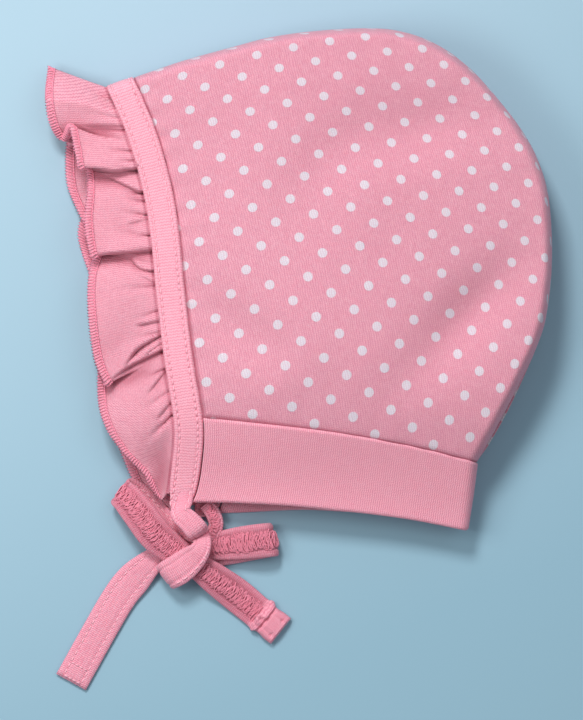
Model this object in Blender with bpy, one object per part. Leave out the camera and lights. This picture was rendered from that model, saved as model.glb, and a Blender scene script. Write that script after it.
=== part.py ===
"""A baby's bonnet in dotted jersey, lying on its side with its ties in a bow. Metres, +Z up.

The bonnet lies as a flattened bag. Its plan is set by a few curves: the fold line along the top and back of the
head, the face seam, and the neck seam. Over that plan the wearer's left side is an upper height field and the
right side a lower one, flat where it rests, and the two meet at the fold line. Crown panels, neckband and face
binding are strips of that bag; the ruffle and the ties leave it.
"""

import math
from collections import namedtuple

import bmesh
import bpy
import numpy as np

# The bag's main sizes.
CAP_DEPTH = 0.142  # crown, from the face seam at the top to the back of the head
CROWN_HEIGHT = 0.147  # from the nape seam to the top of the crown
PUFF = 0.027  # top of the bag over the surface it lies on
FACE_RISE = 0.0165  # the same at the binding's free edge
NECK_RISE = 0.0135  # the same at the neckband's free edge
CORNER_RISE = 0.0115  # the same where the bow draws the two sides together
SEAM_LIFT = 0.009  # height of the centre seam
UPPER_ROUND = 0.013  # width of the rounding beside the centre seam, upper side
LOWER_ROUND = 0.010  # the same, lower side
FALL = 0.032  # how far inside an opening the bag has nearly its full height
SLIP = 0.0085  # how far the lower side's front corner has slipped towards the nape

# Cloth and trims.
CROWN_WALL = 0.0012
BAND_WALL = 0.0020
BINDING_WALL = 0.0020
RUFFLE_WALL = 0.0010
TRIM_PROUD = 0.0004  # binding and neckband stand this much over the crown's cloth
NECKBAND_HEIGHT = 0.0262
BINDING_WIDTH = 0.0100
RUFFLE_WIDTH = 0.0240
RUFFLE_LIFT = 0.0060
DROOP = 0.62  # height of the ruffle's free edge before its folds, as a share of its root's
LOWER_LIFT = 0.55  # the lower side's lift as a share of the upper side's, under its weight
TIE_WIDTH = 0.0115
TIE_WALL = 0.0018
STRAND_PITCH = 0.0024  # from one strand of the bow to the one that lies on it
GAP = 0.0003  # between pieces that are sewn together
ROOT_GAP = 0.0005  # between the ruffle's gathered root and the binding

NAPE_LEAN = math.radians(8)  # the neckband's fold against the vertical
SLIP_REACH = 0.036  # how far from the front corner the lower side's slip is felt
SLIP_DOWN = 0.45  # the slip away from the crown, as a share of the slip towards the nape
END_SLANT = math.radians(40)  # turn of the binding's end, where the tie leaves it
SLANT_SHARE = 0.14  # share of the face seam over which it turns

ROOT_SPREAD = 0.30  # share of the ruffle's root that is gathered evenly
SWING_POWER = 2.4  # how late on its way out the ruffle runs back over itself at a tuck
SETTLE = 0.06  # share of the binding's free edge over which the ruffle turns over the fold

# Mesh counts.
FACE_COLUMNS = 23
NECK_COLUMNS = 17
CROWN_ROWS = 10
BAND_ROWS = 6
BINDING_COLUMNS = 36
BAND_COLUMNS = NECK_COLUMNS
BINDING_ROWS = 3
EDGE_STEPS = 3
RUFFLE_ROWS = 5
TIE_STEPS = 4
TIE_COLUMNS = 3

# Curves of the plan, as shares of the cap's depth from the front and of the crown's height from the nape.
Share = namedtuple("Share", "depth height")
ORIGIN = Share(0.517, 0.444)
FOLD_CURVE = (
    Share(0.000, 0.889),
    Share(0.110, 0.925),
    Share(0.226, 0.956),
    Share(0.342, 0.984),
    Share(0.493, 1.000),
    Share(0.620, 0.998),
    Share(0.719, 0.967),
    Share(0.800, 0.912),
    Share(0.864, 0.846),
    Share(0.922, 0.774),
    Share(0.965, 0.700),
    Share(0.992, 0.610),
    Share(1.000, 0.480),
    Share(0.990, 0.360),
    Share(0.965, 0.270),
    Share(0.889, 0.119),
    Share(0.821, 0.000),
)
FACE_CURVE = (
    Share(0.000, 0.889),
    Share(0.050, 0.775),
    Share(0.090, 0.640),
    Share(0.110, 0.523),
    Share(0.122, 0.405),
    Share(0.141, 0.250),
    Share(0.161, 0.130),
    Share(0.167, 0.060),
    Share(0.160, -0.015),
    Share(0.150, -0.065),
    Share(0.138, -0.094),
)
NECK_CURVE = (
    Share(0.281, 0.092),
    Share(0.481, 0.069),
    Share(0.672, 0.036),
    Share(0.821, 0.000),
)
NECK_CORNER = 0.80  # share of the face seam's length, from the top, where the neck seam leaves it
BACK_CORNER = 0.52  # share of the fold line's length opposite that corner

# The neckband's height, as shares of its named height, from the face to the nape.
Band = namedtuple("Band", "along height")
BAND_TAPER = (Band(0.0, 1.02), Band(0.5, 1.00), Band(1.0, 0.90))

# Soft hollows in the upper side. Places are shares as above, depth a share of the puff, length and width shares
# of the cap's depth, and turn the direction of the length in degrees.
Dent = namedtuple("Dent", "depth_at height_at depth length width turn")
DENTS = (
    Dent(0.800, 0.340, 0.180, 0.180, 0.075, 48),
    Dent(0.660, 0.760, 0.140, 0.210, 0.090, 10),
    Dent(0.260, 0.300, 0.100, 0.130, 0.060, -35),
    Dent(0.420, 0.620, 0.080, 0.150, 0.080, 60),
)

# The ruffle's free edge, from the top of the face to the corner. along is a share of the binding's free edge, and
# where it runs back the ruffle is tucked over itself. rise is a share of the ruffle's lift and reach of its width.
Edge = namedtuple("Edge", "along rise reach")
UPPER_EDGE = (
    Edge(0.000, 0.00, 0.88),
    Edge(0.065, 0.50, 1.06),
    Edge(0.120, 0.25, 1.12),
    Edge(0.155, -0.30, 1.02),
    Edge(0.122, 0.80, 0.84),
    Edge(0.163, 1.05, 0.83),
    Edge(0.210, 1.05, 0.83),
    Edge(0.186, -0.35, 0.72),
    Edge(0.250, 0.25, 0.76),
    Edge(0.335, 0.85, 0.89),
    Edge(0.413, 1.00, 0.87),
    Edge(0.388, -0.40, 0.76),
    Edge(0.460, 0.25, 0.93),
    Edge(0.530, 0.60, 0.99),
    Edge(0.600, 0.65, 1.00),
    Edge(0.648, 0.75, 0.92),
    Edge(0.618, -0.40, 0.98),
    Edge(0.685, 0.05, 1.08),
    Edge(0.753, 0.35, 0.98),
    Edge(0.865, 0.35, 0.59),
    Edge(0.925, 0.20, 0.25),
)
LOWER_EDGE = (
    Edge(0.000, 0.00, 0.88),
    Edge(0.070, 0.20, 1.00),
    Edge(0.130, 0.65, 0.98),
    Edge(0.165, 0.85, 0.92),
    Edge(0.140, 0.05, 0.90),
    Edge(0.200, 0.10, 1.02),
    Edge(0.260, 0.45, 1.06),
    Edge(0.335, 0.90, 0.93),
    Edge(0.312, 0.05, 0.90),
    Edge(0.370, 0.20, 1.03),
    Edge(0.470, 0.90, 0.88),
    Edge(0.446, 0.05, 0.85),
    Edge(0.520, 0.25, 0.95),
    Edge(0.640, 0.85, 0.90),
    Edge(0.616, 0.05, 0.90),
    Edge(0.690, 0.10, 1.00),
    Edge(0.755, 0.25, 1.00),
    Edge(0.860, 0.15, 0.82),
    Edge(0.925, 0.00, 0.45),
)

# The way the ruffle points, in degrees above straight ahead, down the binding's free edge.
Fan = namedtuple("Fan", "along angle")
RUFFLE_FAN = (
    Fan(0.00, 16),
    Fan(0.22, 3),
    Fan(0.45, -4),
    Fan(0.62, -24),
    Fan(0.80, -42),
    Fan(1.00, -60),
)

# The bow, tied in two strips. right and up are tie widths from the knot's middle, level counts strands lying on
# each other, width is a share of the tie's width, and across is the direction of the strip's width in degrees.
Strand = namedtuple("Strand", "right up level width across")
KNOT_FROM_END = (0.09, -1.42)
LEFT_TIE = (
    Strand(-0.42, 1.15, 3.90, 0.50, 24),
    Strand(-0.19, 0.90, 4.10, 0.56, 36),
    Strand(0.05, 0.60, 4.10, 0.60, 30),
    Strand(0.20, 0.28, 3.90, 0.50, 2),
    Strand(0.14, -0.08, 3.70, 0.50, -25),
    Strand(-0.12, -0.42, 3.60, 0.62, -48),
    Strand(-0.46, -0.72, 3.45, 0.66, -53),
    Strand(-0.70, -0.90, 2.75, 0.66, -54),
    Strand(-0.79, -0.96, 1.65, 0.66, -55),
    Strand(-0.68, -0.86, 0.50, 0.66, -57),
    Strand(-0.35, -0.58, 0.05, 0.72, -60),
    Strand(0.15, -0.28, 0.05, 0.80, -66),
    Strand(0.69, -0.05, 0.05, 0.90, -74),
    Strand(1.30, 0.10, 0.10, 0.97, -77),
    Strand(1.85, 0.22, 0.15, 1.00, -77),
    Strand(2.18, 0.28, 0.40, 1.00, -77),
    Strand(2.33, 0.31, 1.40, 1.00, -77),
    Strand(2.18, 0.31, 2.35, 1.00, -77),
    Strand(1.80, 0.27, 2.45, 1.00, -78),
    Strand(1.25, 0.20, 1.75, 0.96, -80),
    Strand(0.69, 0.12, 1.10, 0.84, -82),
    Strand(0.10, 0.04, 1.00, 0.66, -84),
    Strand(-0.45, 0.02, 1.00, 0.60, -80),
    Strand(-0.95, -0.10, 0.95, 0.60, -60),
    Strand(-1.38, -0.42, 0.75, 0.80, -46),
    Strand(-1.81, -0.85, 0.30, 1.00, -40),
    Strand(-2.25, -1.40, 0.15, 1.00, -34),
    Strand(-2.85, -2.42, 0.10, 1.00, -29),
    Strand(-3.69, -3.93, 0.10, 1.00, -27),
)
RIGHT_TIE = (
    Strand(0.45, 0.98, 1.05, 0.60, -12),
    Strand(0.22, 0.76, 1.30, 0.52, -50),
    Strand(-0.20, 0.64, 1.50, 0.48, -88),
    Strand(-0.68, 0.66, 1.20, 0.62, -112),
    Strand(-1.15, 0.88, 0.75, 0.85, -128),
    Strand(-1.62, 1.22, 0.55, 0.95, -134),
    Strand(-1.98, 1.54, 0.62, 0.92, -132),
    Strand(-2.16, 1.70, 1.65, 0.90, -132),
    Strand(-1.98, 1.50, 2.75, 0.92, -132),
    Strand(-1.62, 1.04, 3.25, 0.97, -136),
    Strand(-1.20, 0.50, 3.15, 1.00, -134),
    Strand(-0.75, 0.10, 2.55, 0.92, -134),
    Strand(-0.28, -0.22, 2.15, 0.78, -134),
    Strand(0.15, -0.52, 2.10, 0.80, -131),
    Strand(0.60, -0.86, 1.35, 0.92, -129),
    Strand(1.10, -1.24, 0.40, 1.00, -128),
    Strand(1.80, -1.80, 0.12, 1.00, -128),
    Strand(2.55, -2.42, 0.10, 1.00, -128),
)

COLOURS = {
    "jersey": (0.86, 0.36, 0.45, 1.0),
    "rib": (0.82, 0.30, 0.39, 1.0),
}


def plan(share):
    """A point of the plan in metres, from its shares."""
    return np.array(
        [
            (share.depth - ORIGIN.depth) * CAP_DEPTH,
            (share.height - ORIGIN.height) * CROWN_HEIGHT,
        ]
    )


def spline(points, steps):
    """A smooth curve through the points, with that many steps from each one to the next."""
    p = np.array(points, float)
    p = np.vstack([2 * p[0] - p[1], p, 2 * p[-1] - p[-2]])
    t = (np.arange(steps) / steps)[:, None]
    spans = [
        0.5
        * (
            2 * b
            + (c - a) * t
            + (2 * a - 5 * b + 4 * c - d) * t**2
            + (3 * b - a - 3 * c + d) * t**3
        )
        for a, b, c, d in zip(p, p[1:], p[2:], p[3:])
    ]
    return np.vstack([*spans, p[-2][None]])


def lengths(line):
    """The distance along the line to each of its points."""
    steps = np.linalg.norm(np.diff(line, axis=0), axis=1)
    return np.concatenate([[0.0], np.cumsum(steps)])


def at_shares(line, shares):
    """The points at those shares of the line's length."""
    along = lengths(line)
    at = np.asarray(shares, float) * along[-1]
    return np.stack([np.interp(at, along, line[:, k]) for k in range(line.shape[1])], axis=1)


def column(rows, key, at):
    """A table's column, read at shares of its along column."""
    return np.interp(at, [r.along for r in rows], [getattr(r, key) for r in rows])


def unit(v):
    return v / np.maximum(np.linalg.norm(v, axis=-1, keepdims=True), 1e-12)


def turned(v, angle):
    """Directions of the plan, turned anticlockwise by the angles."""
    c, s = np.cos(angle), np.sin(angle)
    return np.stack([v[:, 0] * c - v[:, 1] * s, v[:, 0] * s + v[:, 1] * c], axis=1)


def distance(points, line):
    """How far each point of the plan is from a line of many points."""
    a, d = line[:-1], np.diff(line, axis=0)
    offset = points[..., None, :] - a
    t = np.clip((offset * d).sum(-1) / (d * d).sum(-1), 0, 1)
    return np.linalg.norm(offset - t[..., None] * d, axis=-1).min(-1)


def bell(x):
    return np.exp(-(x**2))


# The plan's curves in metres.
FOLD_SEAM = spline([plan(s) for s in FOLD_CURVE], 8)
FACE_SEAM = spline([plan(s) for s in FACE_CURVE], 8)
NECK_START = at_shares(FACE_SEAM, [NECK_CORNER])[0]
NECK_SEAM = spline([NECK_START, *(plan(s) for s in NECK_CURVE)], 8)
TOP_AHEAD = unit(FOLD_SEAM[0] - FOLD_SEAM[1])
NAPE_DOWN = np.array([-math.sin(NAPE_LEAN), -math.cos(NAPE_LEAN)])


def binding_directions(along):
    """The binding's width direction in the plan: on the fold line at the top, square to the face seam below."""
    tangent = unit(np.gradient(at_shares(FACE_SEAM, along), axis=0))
    square = np.stack([tangent[:, 1], -tangent[:, 0]], axis=1)
    blend = np.clip(along * lengths(FACE_SEAM)[-1] / (2 * UPPER_ROUND), 0, 1)[:, None]
    turn = END_SLANT * np.clip(1 - (1 - along) / SLANT_SHARE, 0, 1) ** 2
    square = turned(square, turn)
    return unit(TOP_AHEAD * (1 - blend) + square * blend)


def band_heights(along):
    return NECKBAND_HEIGHT * column(BAND_TAPER, "height", along)


def band_directions(along):
    """The neckband's height direction in the plan, from the face seam's end round to the nape's fold."""
    front = unit(FACE_SEAM[-1] - NECK_START)
    return unit(front * (1 - along[:, None]) + NAPE_DOWN * along[:, None])


EVEN = np.linspace(0, 1, 60)
FACE_EDGE = at_shares(FACE_SEAM, EVEN) + binding_directions(EVEN) * BINDING_WIDTH
NECK_EDGE = at_shares(NECK_SEAM, EVEN) + band_directions(EVEN) * band_heights(EVEN)[:, None]
CORNER = FACE_SEAM[-1]
BAG_FOLD = np.vstack(
    [
        FOLD_SEAM[0] + TOP_AHEAD * (BINDING_WIDTH + RUFFLE_WIDTH),
        FOLD_SEAM,
        FOLD_SEAM[-1] + NAPE_DOWN * 2 * NECKBAND_HEIGHT,
    ]
)


def rounding(points, width):
    """0 at the fold line, rising as a quarter ellipse to 1 at that width inside it."""
    inward = np.clip(distance(points, BAG_FOLD) / width, 0, 1)
    return np.sqrt(1 - (1 - inward) ** 2)


def dents(points):
    total = np.zeros(points.shape[:-1])
    for dent in DENTS:
        turn = math.radians(dent.turn)
        offset = points - plan(Share(dent.depth_at, dent.height_at))
        along = offset @ np.array([math.cos(turn), math.sin(turn)])
        aside = offset @ np.array([-math.sin(turn), math.cos(turn)])
        reach = (along / (dent.length * CAP_DEPTH)) ** 2 + (aside / (dent.width * CAP_DEPTH)) ** 2
        total += dent.depth * PUFF * np.exp(-reach)
    return total


def upper_height(points):
    """Height of the upper side over the plan: full inside, lower towards each opening and the bow's corner."""
    drops = (
        (PUFF - FACE_RISE) * bell(distance(points, FACE_EDGE) / FALL),
        (PUFF - NECK_RISE) * bell(distance(points, NECK_EDGE) / FALL),
        (PUFF - CORNER_RISE) * bell(np.linalg.norm(points - CORNER, axis=-1) / FALL),
    )
    top = PUFF - sum(d**4 for d in drops) ** 0.25 - dents(points)
    return SEAM_LIFT + (top - SEAM_LIFT) * rounding(points, UPPER_ROUND)


def lower_height(points):
    """Height of the lower side: flat on the surface inside its rounding."""
    return SEAM_LIFT * (1 - rounding(points, LOWER_ROUND))


def slipped(points):
    """The lower side's plan, slipped towards the nape at its front corner."""
    near = bell(np.linalg.norm(points - CORNER, axis=-1) / SLIP_REACH)
    return points + near[..., None] * SLIP * np.array([1.0, -SLIP_DOWN])


def on_side(points, side):
    """Points of the bag over points of the plan, on its upper (1) or lower (-1) side."""
    if side > 0:
        return np.concatenate([points, upper_height(points)[..., None]], axis=-1)
    return np.concatenate([slipped(points), lower_height(points)[..., None]], axis=-1)


def normals(grid):
    along, across = np.gradient(grid, axis=0), np.gradient(grid, axis=1)
    return unit(np.cross(along, across))


def ring_quads(rows, columns, offset):
    """The four-cornered faces between neighbours in a grid whose first corner has that number."""
    return [
        (
            offset + i * columns + j,
            offset + (i + 1) * columns + j,
            offset + (i + 1) * columns + j + 1,
            offset + i * columns + j + 1,
        )
        for i in range(rows - 1)
        for j in range(columns - 1)
    ]


def make_object(name, points, faces, colour):
    mesh = bpy.data.meshes.new(name)
    mesh.from_pydata([tuple(p) for p in points], [], faces)
    solid = bmesh.new()
    solid.from_mesh(mesh)
    bmesh.ops.recalc_face_normals(solid, faces=solid.faces)
    if solid.calc_volume(signed=True) < 0:
        bmesh.ops.reverse_faces(solid, faces=solid.faces)
    solid.to_mesh(mesh)
    solid.free()
    obj = bpy.data.objects.new(name, mesh)
    bpy.context.scene.collection.objects.link(obj)
    material = bpy.data.materials.new(name)
    material.use_nodes = True
    shader = material.node_tree.nodes["Principled BSDF"]
    shader.inputs["Base Color"].default_value = COLOURS[colour]
    shader.inputs["Roughness"].default_value = 0.9
    shader.inputs["Metallic"].default_value = 0.0
    mesh.materials.append(material)
    mesh.shade_smooth()
    mesh.set_sharp_from_angle(angle=math.radians(50))
    return obj


def cloth_wall(name, grid, normal, above, below, colour, first_tip=False, last_tip=False):
    """A closed wall of cloth about a grid of points, thickened to above and below along the normals.

    At a tip the first or last row of the grid is one point.
    """
    rows, columns = grid.shape[:2]
    above = np.broadcast_to(above, grid.shape[:2])[..., None]
    below = np.broadcast_to(below, grid.shape[:2])[..., None]
    outer, inner = grid + normal * above, grid - normal * below
    points = np.vstack([outer.reshape(-1, 3), inner.reshape(-1, 3)])
    count = rows * columns
    index = np.arange(2 * count)
    for tip, row in ((first_tip, 0), (last_tip, rows - 1)):
        if tip:
            index[row * columns : (row + 1) * columns] = row * columns
            index[count + row * columns : count + (row + 1) * columns] = count + row * columns
    faces = ring_quads(rows, columns, 0)
    faces += [tuple(reversed(f)) for f in ring_quads(rows, columns, count)]
    border = [i * columns for i in range(rows)]
    border += [(rows - 1) * columns + j for j in range(1, columns)]
    border += [i * columns + columns - 1 for i in range(rows - 2, -1, -1)]
    border += list(range(columns - 2, 0, -1))
    faces += [(b, a, count + a, count + b) for a, b in zip(border, border[1:] + border[:1])]
    kept = []
    for face in faces:
        corners = list(dict.fromkeys(int(index[i]) for i in face))
        if len(corners) > 2:
            kept.append(corners)
    used = sorted({i for face in kept for i in face})
    renumbered = {old: new for new, old in enumerate(used)}
    kept = [tuple(renumbered[i] for i in face) for face in kept]
    return make_object(name, points[used], kept, colour)


def crowded(count):
    """Shares from 0 to 1 that lie close together at 0, where the bag is rounded at its fold."""
    return np.linspace(0, 1, count) ** 1.4


def towards_fold(count):
    """Shares from an opening to the fold line, close together at the fold."""
    return 1 - (1 - np.linspace(0, 1, count)) ** 2.1


def crown_panel(name, side):
    """One side of the crown: ruled between its openings' seams and the fold line, where the centre seam runs."""
    down, back = crowded(FACE_COLUMNS), 1 - crowded(NECK_COLUMNS)[::-1][1:]
    face = at_shares(FACE_SEAM, down * NECK_CORNER)
    neck = at_shares(NECK_SEAM, back)
    inset_face = face + GAP / 2 * np.array([1.0, 0.0])
    inset_neck = neck + GAP / 2 * np.array([0.0, 1.0])
    opening = np.vstack([inset_face, inset_neck])
    opening[FACE_COLUMNS - 1] += GAP / 2 * np.array([0.0, 1.0])
    shares = np.concatenate([down * BACK_CORNER, BACK_CORNER + back * (1 - BACK_CORNER)])
    fold = at_shares(FOLD_SEAM, shares)
    opening[0], opening[-1] = fold[0], fold[-1]
    share = towards_fold(CROWN_ROWS)[None, :, None]
    flat = opening[:, None, :] * (1 - share) + fold[:, None, :] * share
    grid = on_side(flat, side)
    normal = normals(grid)
    normal *= side * np.sign(normal[..., 2].mean())
    normal[:, -1, 2] = 0
    normal[0], normal[-1] = normal[1], normal[-2]
    normal[0, :] = unit(normal[1].mean(0))
    normal[-1, :] = unit(normal[-2].mean(0))
    normal[0, :, 2], normal[-1, :, 2] = 0, 0
    normal = unit(normal)
    grid[:, -1, 2] += side * GAP / 2
    grid[0, :, 2] = SEAM_LIFT + side * GAP / 2
    grid[-1, :, 2] = SEAM_LIFT + side * GAP / 2
    return cloth_wall(name, grid, normal, 0, CROWN_WALL, "jersey", first_tip=True, last_tip=True)


def strip(name, edge_at, rows, columns, wall, skew):
    """A trim that goes along the upper side to the fold and back along the lower one.

    edge_at gives the plan's points for shares along a side, from its end to the fold, and across the strip."""
    towards = 1 - crowded(columns)[::-1]
    across = np.linspace(0, 1, rows)
    flat = edge_at(towards, across)
    upper = on_side(flat, 1)
    lower = on_side(flat + skew(towards, across), -1)[::-1][1:]
    grid = np.vstack([upper, lower])
    grid[columns - 1, :, 2] = SEAM_LIFT
    normal = normals(grid)
    normal *= np.sign(normal[: columns // 2, :, 2].mean())
    proud = np.concatenate([np.ones(columns), np.zeros(columns - 1)]) * TRIM_PROUD
    return cloth_wall(name, grid, normal, proud[:, None], wall - proud[:, None], "rib")


def face_binding():
    """The strip that binds the face opening, sewn over the crown's and the neckband's front edges."""

    def edge_at(towards, across):
        along = 1 - towards
        seam = at_shares(FACE_SEAM, along)
        ahead = binding_directions(np.linspace(0, 1, 200))
        picked = np.stack(
            [np.interp(along, np.linspace(0, 1, 200), ahead[:, k]) for k in range(2)], axis=1
        )
        reach = GAP / 2 + across * (BINDING_WIDTH - GAP)
        return seam[:, None, :] + unit(picked)[:, None, :] * reach[None, :, None]

    return strip("face_binding", edge_at, BINDING_ROWS, BINDING_COLUMNS, BINDING_WALL, lambda t, a: 0.0)


def neckband():
    """The folded rib band round the neck, from the binding's one end to the other by way of the nape."""

    def edge_at(towards, across):
        seam = at_shares(NECK_SEAM, towards)
        down = band_directions(towards)
        height = band_heights(towards)
        reach = GAP / 2 + across[None, :] * (height[:, None] - GAP / 2)
        flat = seam[:, None, :] + down[:, None, :] * reach[..., None]
        front = at_shares(FACE_SEAM, NECK_CORNER + across * (1 - NECK_CORNER))
        front += GAP * np.stack([np.ones(len(across)), across - 1], axis=1)
        return flat + (front - flat[0])[None] * (1 - towards[:, None, None]) ** 4

    return strip("neckband", edge_at, BAND_ROWS, BAND_COLUMNS, BAND_WALL, lambda t, a: 0.0)


def face_edge_at(along):
    """Points of the binding's free edge in the plan."""
    return np.stack([np.interp(along, EVEN, FACE_EDGE[:, k]) for k in range(2)], axis=-1)


def ruffle_side(stations, side):
    """The grid of one side of the ruffle, from the top of the face to its end beside the bow."""
    edge = spline([tuple(e) for e in stations], EDGE_STEPS)
    window = np.ones(2 * EDGE_STEPS + 1)
    even = np.convolve(np.pad(edge[:, 0], EDGE_STEPS, mode="edge"), window / window.sum(), "valid")
    root = np.maximum.accumulate(even) + np.linspace(0, ROOT_SPREAD, len(even))
    root = (root - root[0]) / (root[-1] - root[0]) * stations[-1].along
    out = np.linspace(0, 1, RUFFLE_ROWS)[None, :]
    swing = out**SWING_POWER
    along = root[:, None] * (1 - swing) + edge[:, :1] * swing
    angle = np.radians(column(RUFFLE_FAN, "angle", along))
    ahead = np.stack([-np.cos(angle), np.sin(angle)], axis=-1)
    clear = binding_directions(root) * ROOT_GAP
    reach = out * (RUFFLE_WIDTH * edge[:, 2:] - ROOT_GAP)
    places = face_edge_at(along) + clear[:, None, :] + ahead * reach[..., None]
    start = on_side(face_edge_at(root), side)
    places += (start[:, :2] - face_edge_at(root))[:, None, :]
    base = start[:, 2] - side * BINDING_WALL / 2
    settle = np.clip(root / SETTLE, 0, 1)
    base = base * settle + SEAM_LIFT * (1 - settle)
    lift = RUFFLE_LIFT * (1.0 if side > 0 else LOWER_LIFT)
    tip = base * DROOP + edge[:, 1] * lift * settle
    height = base[:, None] * (1 - out) + tip[:, None] * out
    height = np.maximum(height, RUFFLE_WALL / 2)
    return np.concatenate([places, height[..., None]], axis=-1)


def ruffle():
    """The gathered strip in front of the binding, in large folds on both sides of the bag."""
    upper, lower = ruffle_side(UPPER_EDGE, 1), ruffle_side(LOWER_EDGE, -1)
    grid = np.vstack([upper[::-1], lower[1:]])
    return cloth_wall("ruffle", grid, normals(grid), RUFFLE_WALL / 2, RUFFLE_WALL / 2, "jersey")


def tie(name, strands):
    """A strip of the bow, laid along its strands, with square edges."""
    middle = CORNER + np.array(KNOT_FROM_END) * TIE_WIDTH
    rows = spline([tuple(s) for s in strands], TIE_STEPS)
    place = np.column_stack(
        [
            middle + rows[:, :2] * TIE_WIDTH,
            rows[:, 2] * STRAND_PITCH + TIE_WALL / 2,
        ]
    )
    turn = np.radians(rows[:, 4])
    aside = np.stack([np.cos(turn), np.sin(turn), np.zeros(len(turn))], axis=1)
    along = unit(np.gradient(place, axis=0))
    aside = unit(aside - along * (aside * along).sum(1, keepdims=True))
    across = np.linspace(-0.5, 0.5, TIE_COLUMNS)
    grid = place[:, None] + aside[:, None] * (across[None, :, None] * TIE_WIDTH * rows[:, None, 3:4])
    normal = np.broadcast_to(np.cross(along, aside)[:, None], grid.shape)
    return cloth_wall(name, grid, normal, TIE_WALL / 2, TIE_WALL / 2, "rib")


def build():
    for obj in list(bpy.data.objects):
        bpy.data.objects.remove(obj)
    ruffle()
    tie("left_tie", LEFT_TIE)
    tie("right_tie", RIGHT_TIE)
    crown_panel("crown_left_panel", 1)
    crown_panel("crown_right_panel", -1)
    face_binding()
    neckband()


build()
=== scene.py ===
"""The looks of a baby's bonnet in dotted jersey, lying on its side, seen from straight above.

The bonnet is a flattened bag, with the same plan and heights as its solids. Here its cloth gets its fine
form, its print and knit, and its stitches.
"""

import math
from collections import namedtuple

import bpy
import numpy as np
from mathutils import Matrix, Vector


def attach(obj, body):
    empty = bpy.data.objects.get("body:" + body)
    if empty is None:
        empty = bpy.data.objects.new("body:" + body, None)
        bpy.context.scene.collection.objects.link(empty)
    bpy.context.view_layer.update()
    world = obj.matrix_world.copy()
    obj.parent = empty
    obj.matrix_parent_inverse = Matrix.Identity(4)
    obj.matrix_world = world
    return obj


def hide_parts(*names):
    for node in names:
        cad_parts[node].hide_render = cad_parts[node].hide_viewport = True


# The bag's main sizes.
CAP_DEPTH = 0.142  # crown, from the face seam at the top to the back of the head
CROWN_HEIGHT = 0.147  # from the nape seam to the top of the crown
PUFF = 0.027  # top of the bag over the surface it lies on
FACE_RISE = 0.0165  # the same at the binding's free edge
NECK_RISE = 0.0135  # the same at the neckband's free edge
CORNER_RISE = 0.0115  # the same where the bow draws the two sides together
SEAM_LIFT = 0.009  # height of the centre seam
UPPER_ROUND = 0.013  # width of the rounding beside the centre seam, upper side
LOWER_ROUND = 0.010  # the same, lower side
SHOULDER = 0.0043  # the same for the cloth itself, which is fuller near the seam than its solid
SHOULDER_POWER = 2.6  # how full that rounding is, where 2 is a quarter ellipse
FALL = 0.032  # how far inside an opening the bag has nearly its full height
SLIP = 0.0085  # how far the lower side's front corner has slipped towards the nape

# Cloth and trims.
CROWN_WALL = 0.0012
BAND_WALL = 0.0020
BINDING_WALL = 0.0020
RUFFLE_WALL = 0.0010
BAND_ROUND = 0.0007  # rounding of the neckband at its seam
BINDING_ROUND = 0.0008  # the same of the binding
FREE_ROUND = 0.0012  # rounding of both at their free edges
TRIM_PROUD = 0.0004  # binding and neckband stand this much over the crown's cloth
NECKBAND_HEIGHT = 0.0262
BINDING_WIDTH = 0.0100
RUFFLE_WIDTH = 0.0240
RUFFLE_LIFT = 0.0060  # how far the ruffle's highest folds stand up
DROOP = 0.62  # height of the ruffle's free edge before its folds, as a share of its root's
LOWER_LIFT = 0.55  # the lower side's lift as a share of the upper side's, under its weight
TIE_WIDTH = 0.0115
TIE_WALL = 0.0018
STRAND_PITCH = 0.0024  # from one strand of the bow to the one that lies on it
GAP = 0.0003  # between pieces that are sewn together
ROOT_GAP = 0.0005  # between the ruffle's gathered root and the binding

NAPE_LEAN = math.radians(8)  # the neckband's fold against the vertical
SLIP_REACH = 0.036  # how far from the front corner the lower side's slip is felt
SLIP_DOWN = 0.45  # the slip away from the crown, as a share of the slip towards the nape
END_SLANT = math.radians(40)  # turn of the binding's end, where the tie leaves it
SLANT_SHARE = 0.14  # share of the face seam over which it turns

ROOT_SPREAD = 0.30  # share of the ruffle's root that is gathered evenly
SWING_POWER = 2.4  # how late on its way out the ruffle runs back over itself at a tuck
SETTLE = 0.06  # share of the binding's free edge over which the ruffle turns over the fold

# Curves of the plan, as shares of the cap's depth from the front and of the crown's height from the nape.
Share = namedtuple("Share", "depth height")
ORIGIN = Share(0.517, 0.444)
FOLD_CURVE = (
    Share(0.000, 0.889),
    Share(0.110, 0.925),
    Share(0.226, 0.956),
    Share(0.342, 0.984),
    Share(0.493, 1.000),
    Share(0.620, 0.998),
    Share(0.719, 0.967),
    Share(0.800, 0.912),
    Share(0.864, 0.846),
    Share(0.922, 0.774),
    Share(0.965, 0.700),
    Share(0.992, 0.610),
    Share(1.000, 0.480),
    Share(0.990, 0.360),
    Share(0.965, 0.270),
    Share(0.889, 0.119),
    Share(0.821, 0.000),
)
FACE_CURVE = (
    Share(0.000, 0.889),
    Share(0.050, 0.775),
    Share(0.090, 0.640),
    Share(0.110, 0.523),
    Share(0.122, 0.405),
    Share(0.141, 0.250),
    Share(0.161, 0.130),
    Share(0.167, 0.060),
    Share(0.160, -0.015),
    Share(0.150, -0.065),
    Share(0.138, -0.094),
)
NECK_CURVE = (
    Share(0.281, 0.092),
    Share(0.481, 0.069),
    Share(0.672, 0.036),
    Share(0.821, 0.000),
)
NECK_CORNER = 0.80  # share of the face seam's length, from the top, where the neck seam leaves it
BACK_CORNER = 0.52  # share of the fold line's length opposite that corner

# The neckband's height, as shares of its named height, from the face to the nape.
Band = namedtuple("Band", "along height")
BAND_TAPER = (Band(0.0, 1.02), Band(0.5, 1.00), Band(1.0, 0.90))

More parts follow.
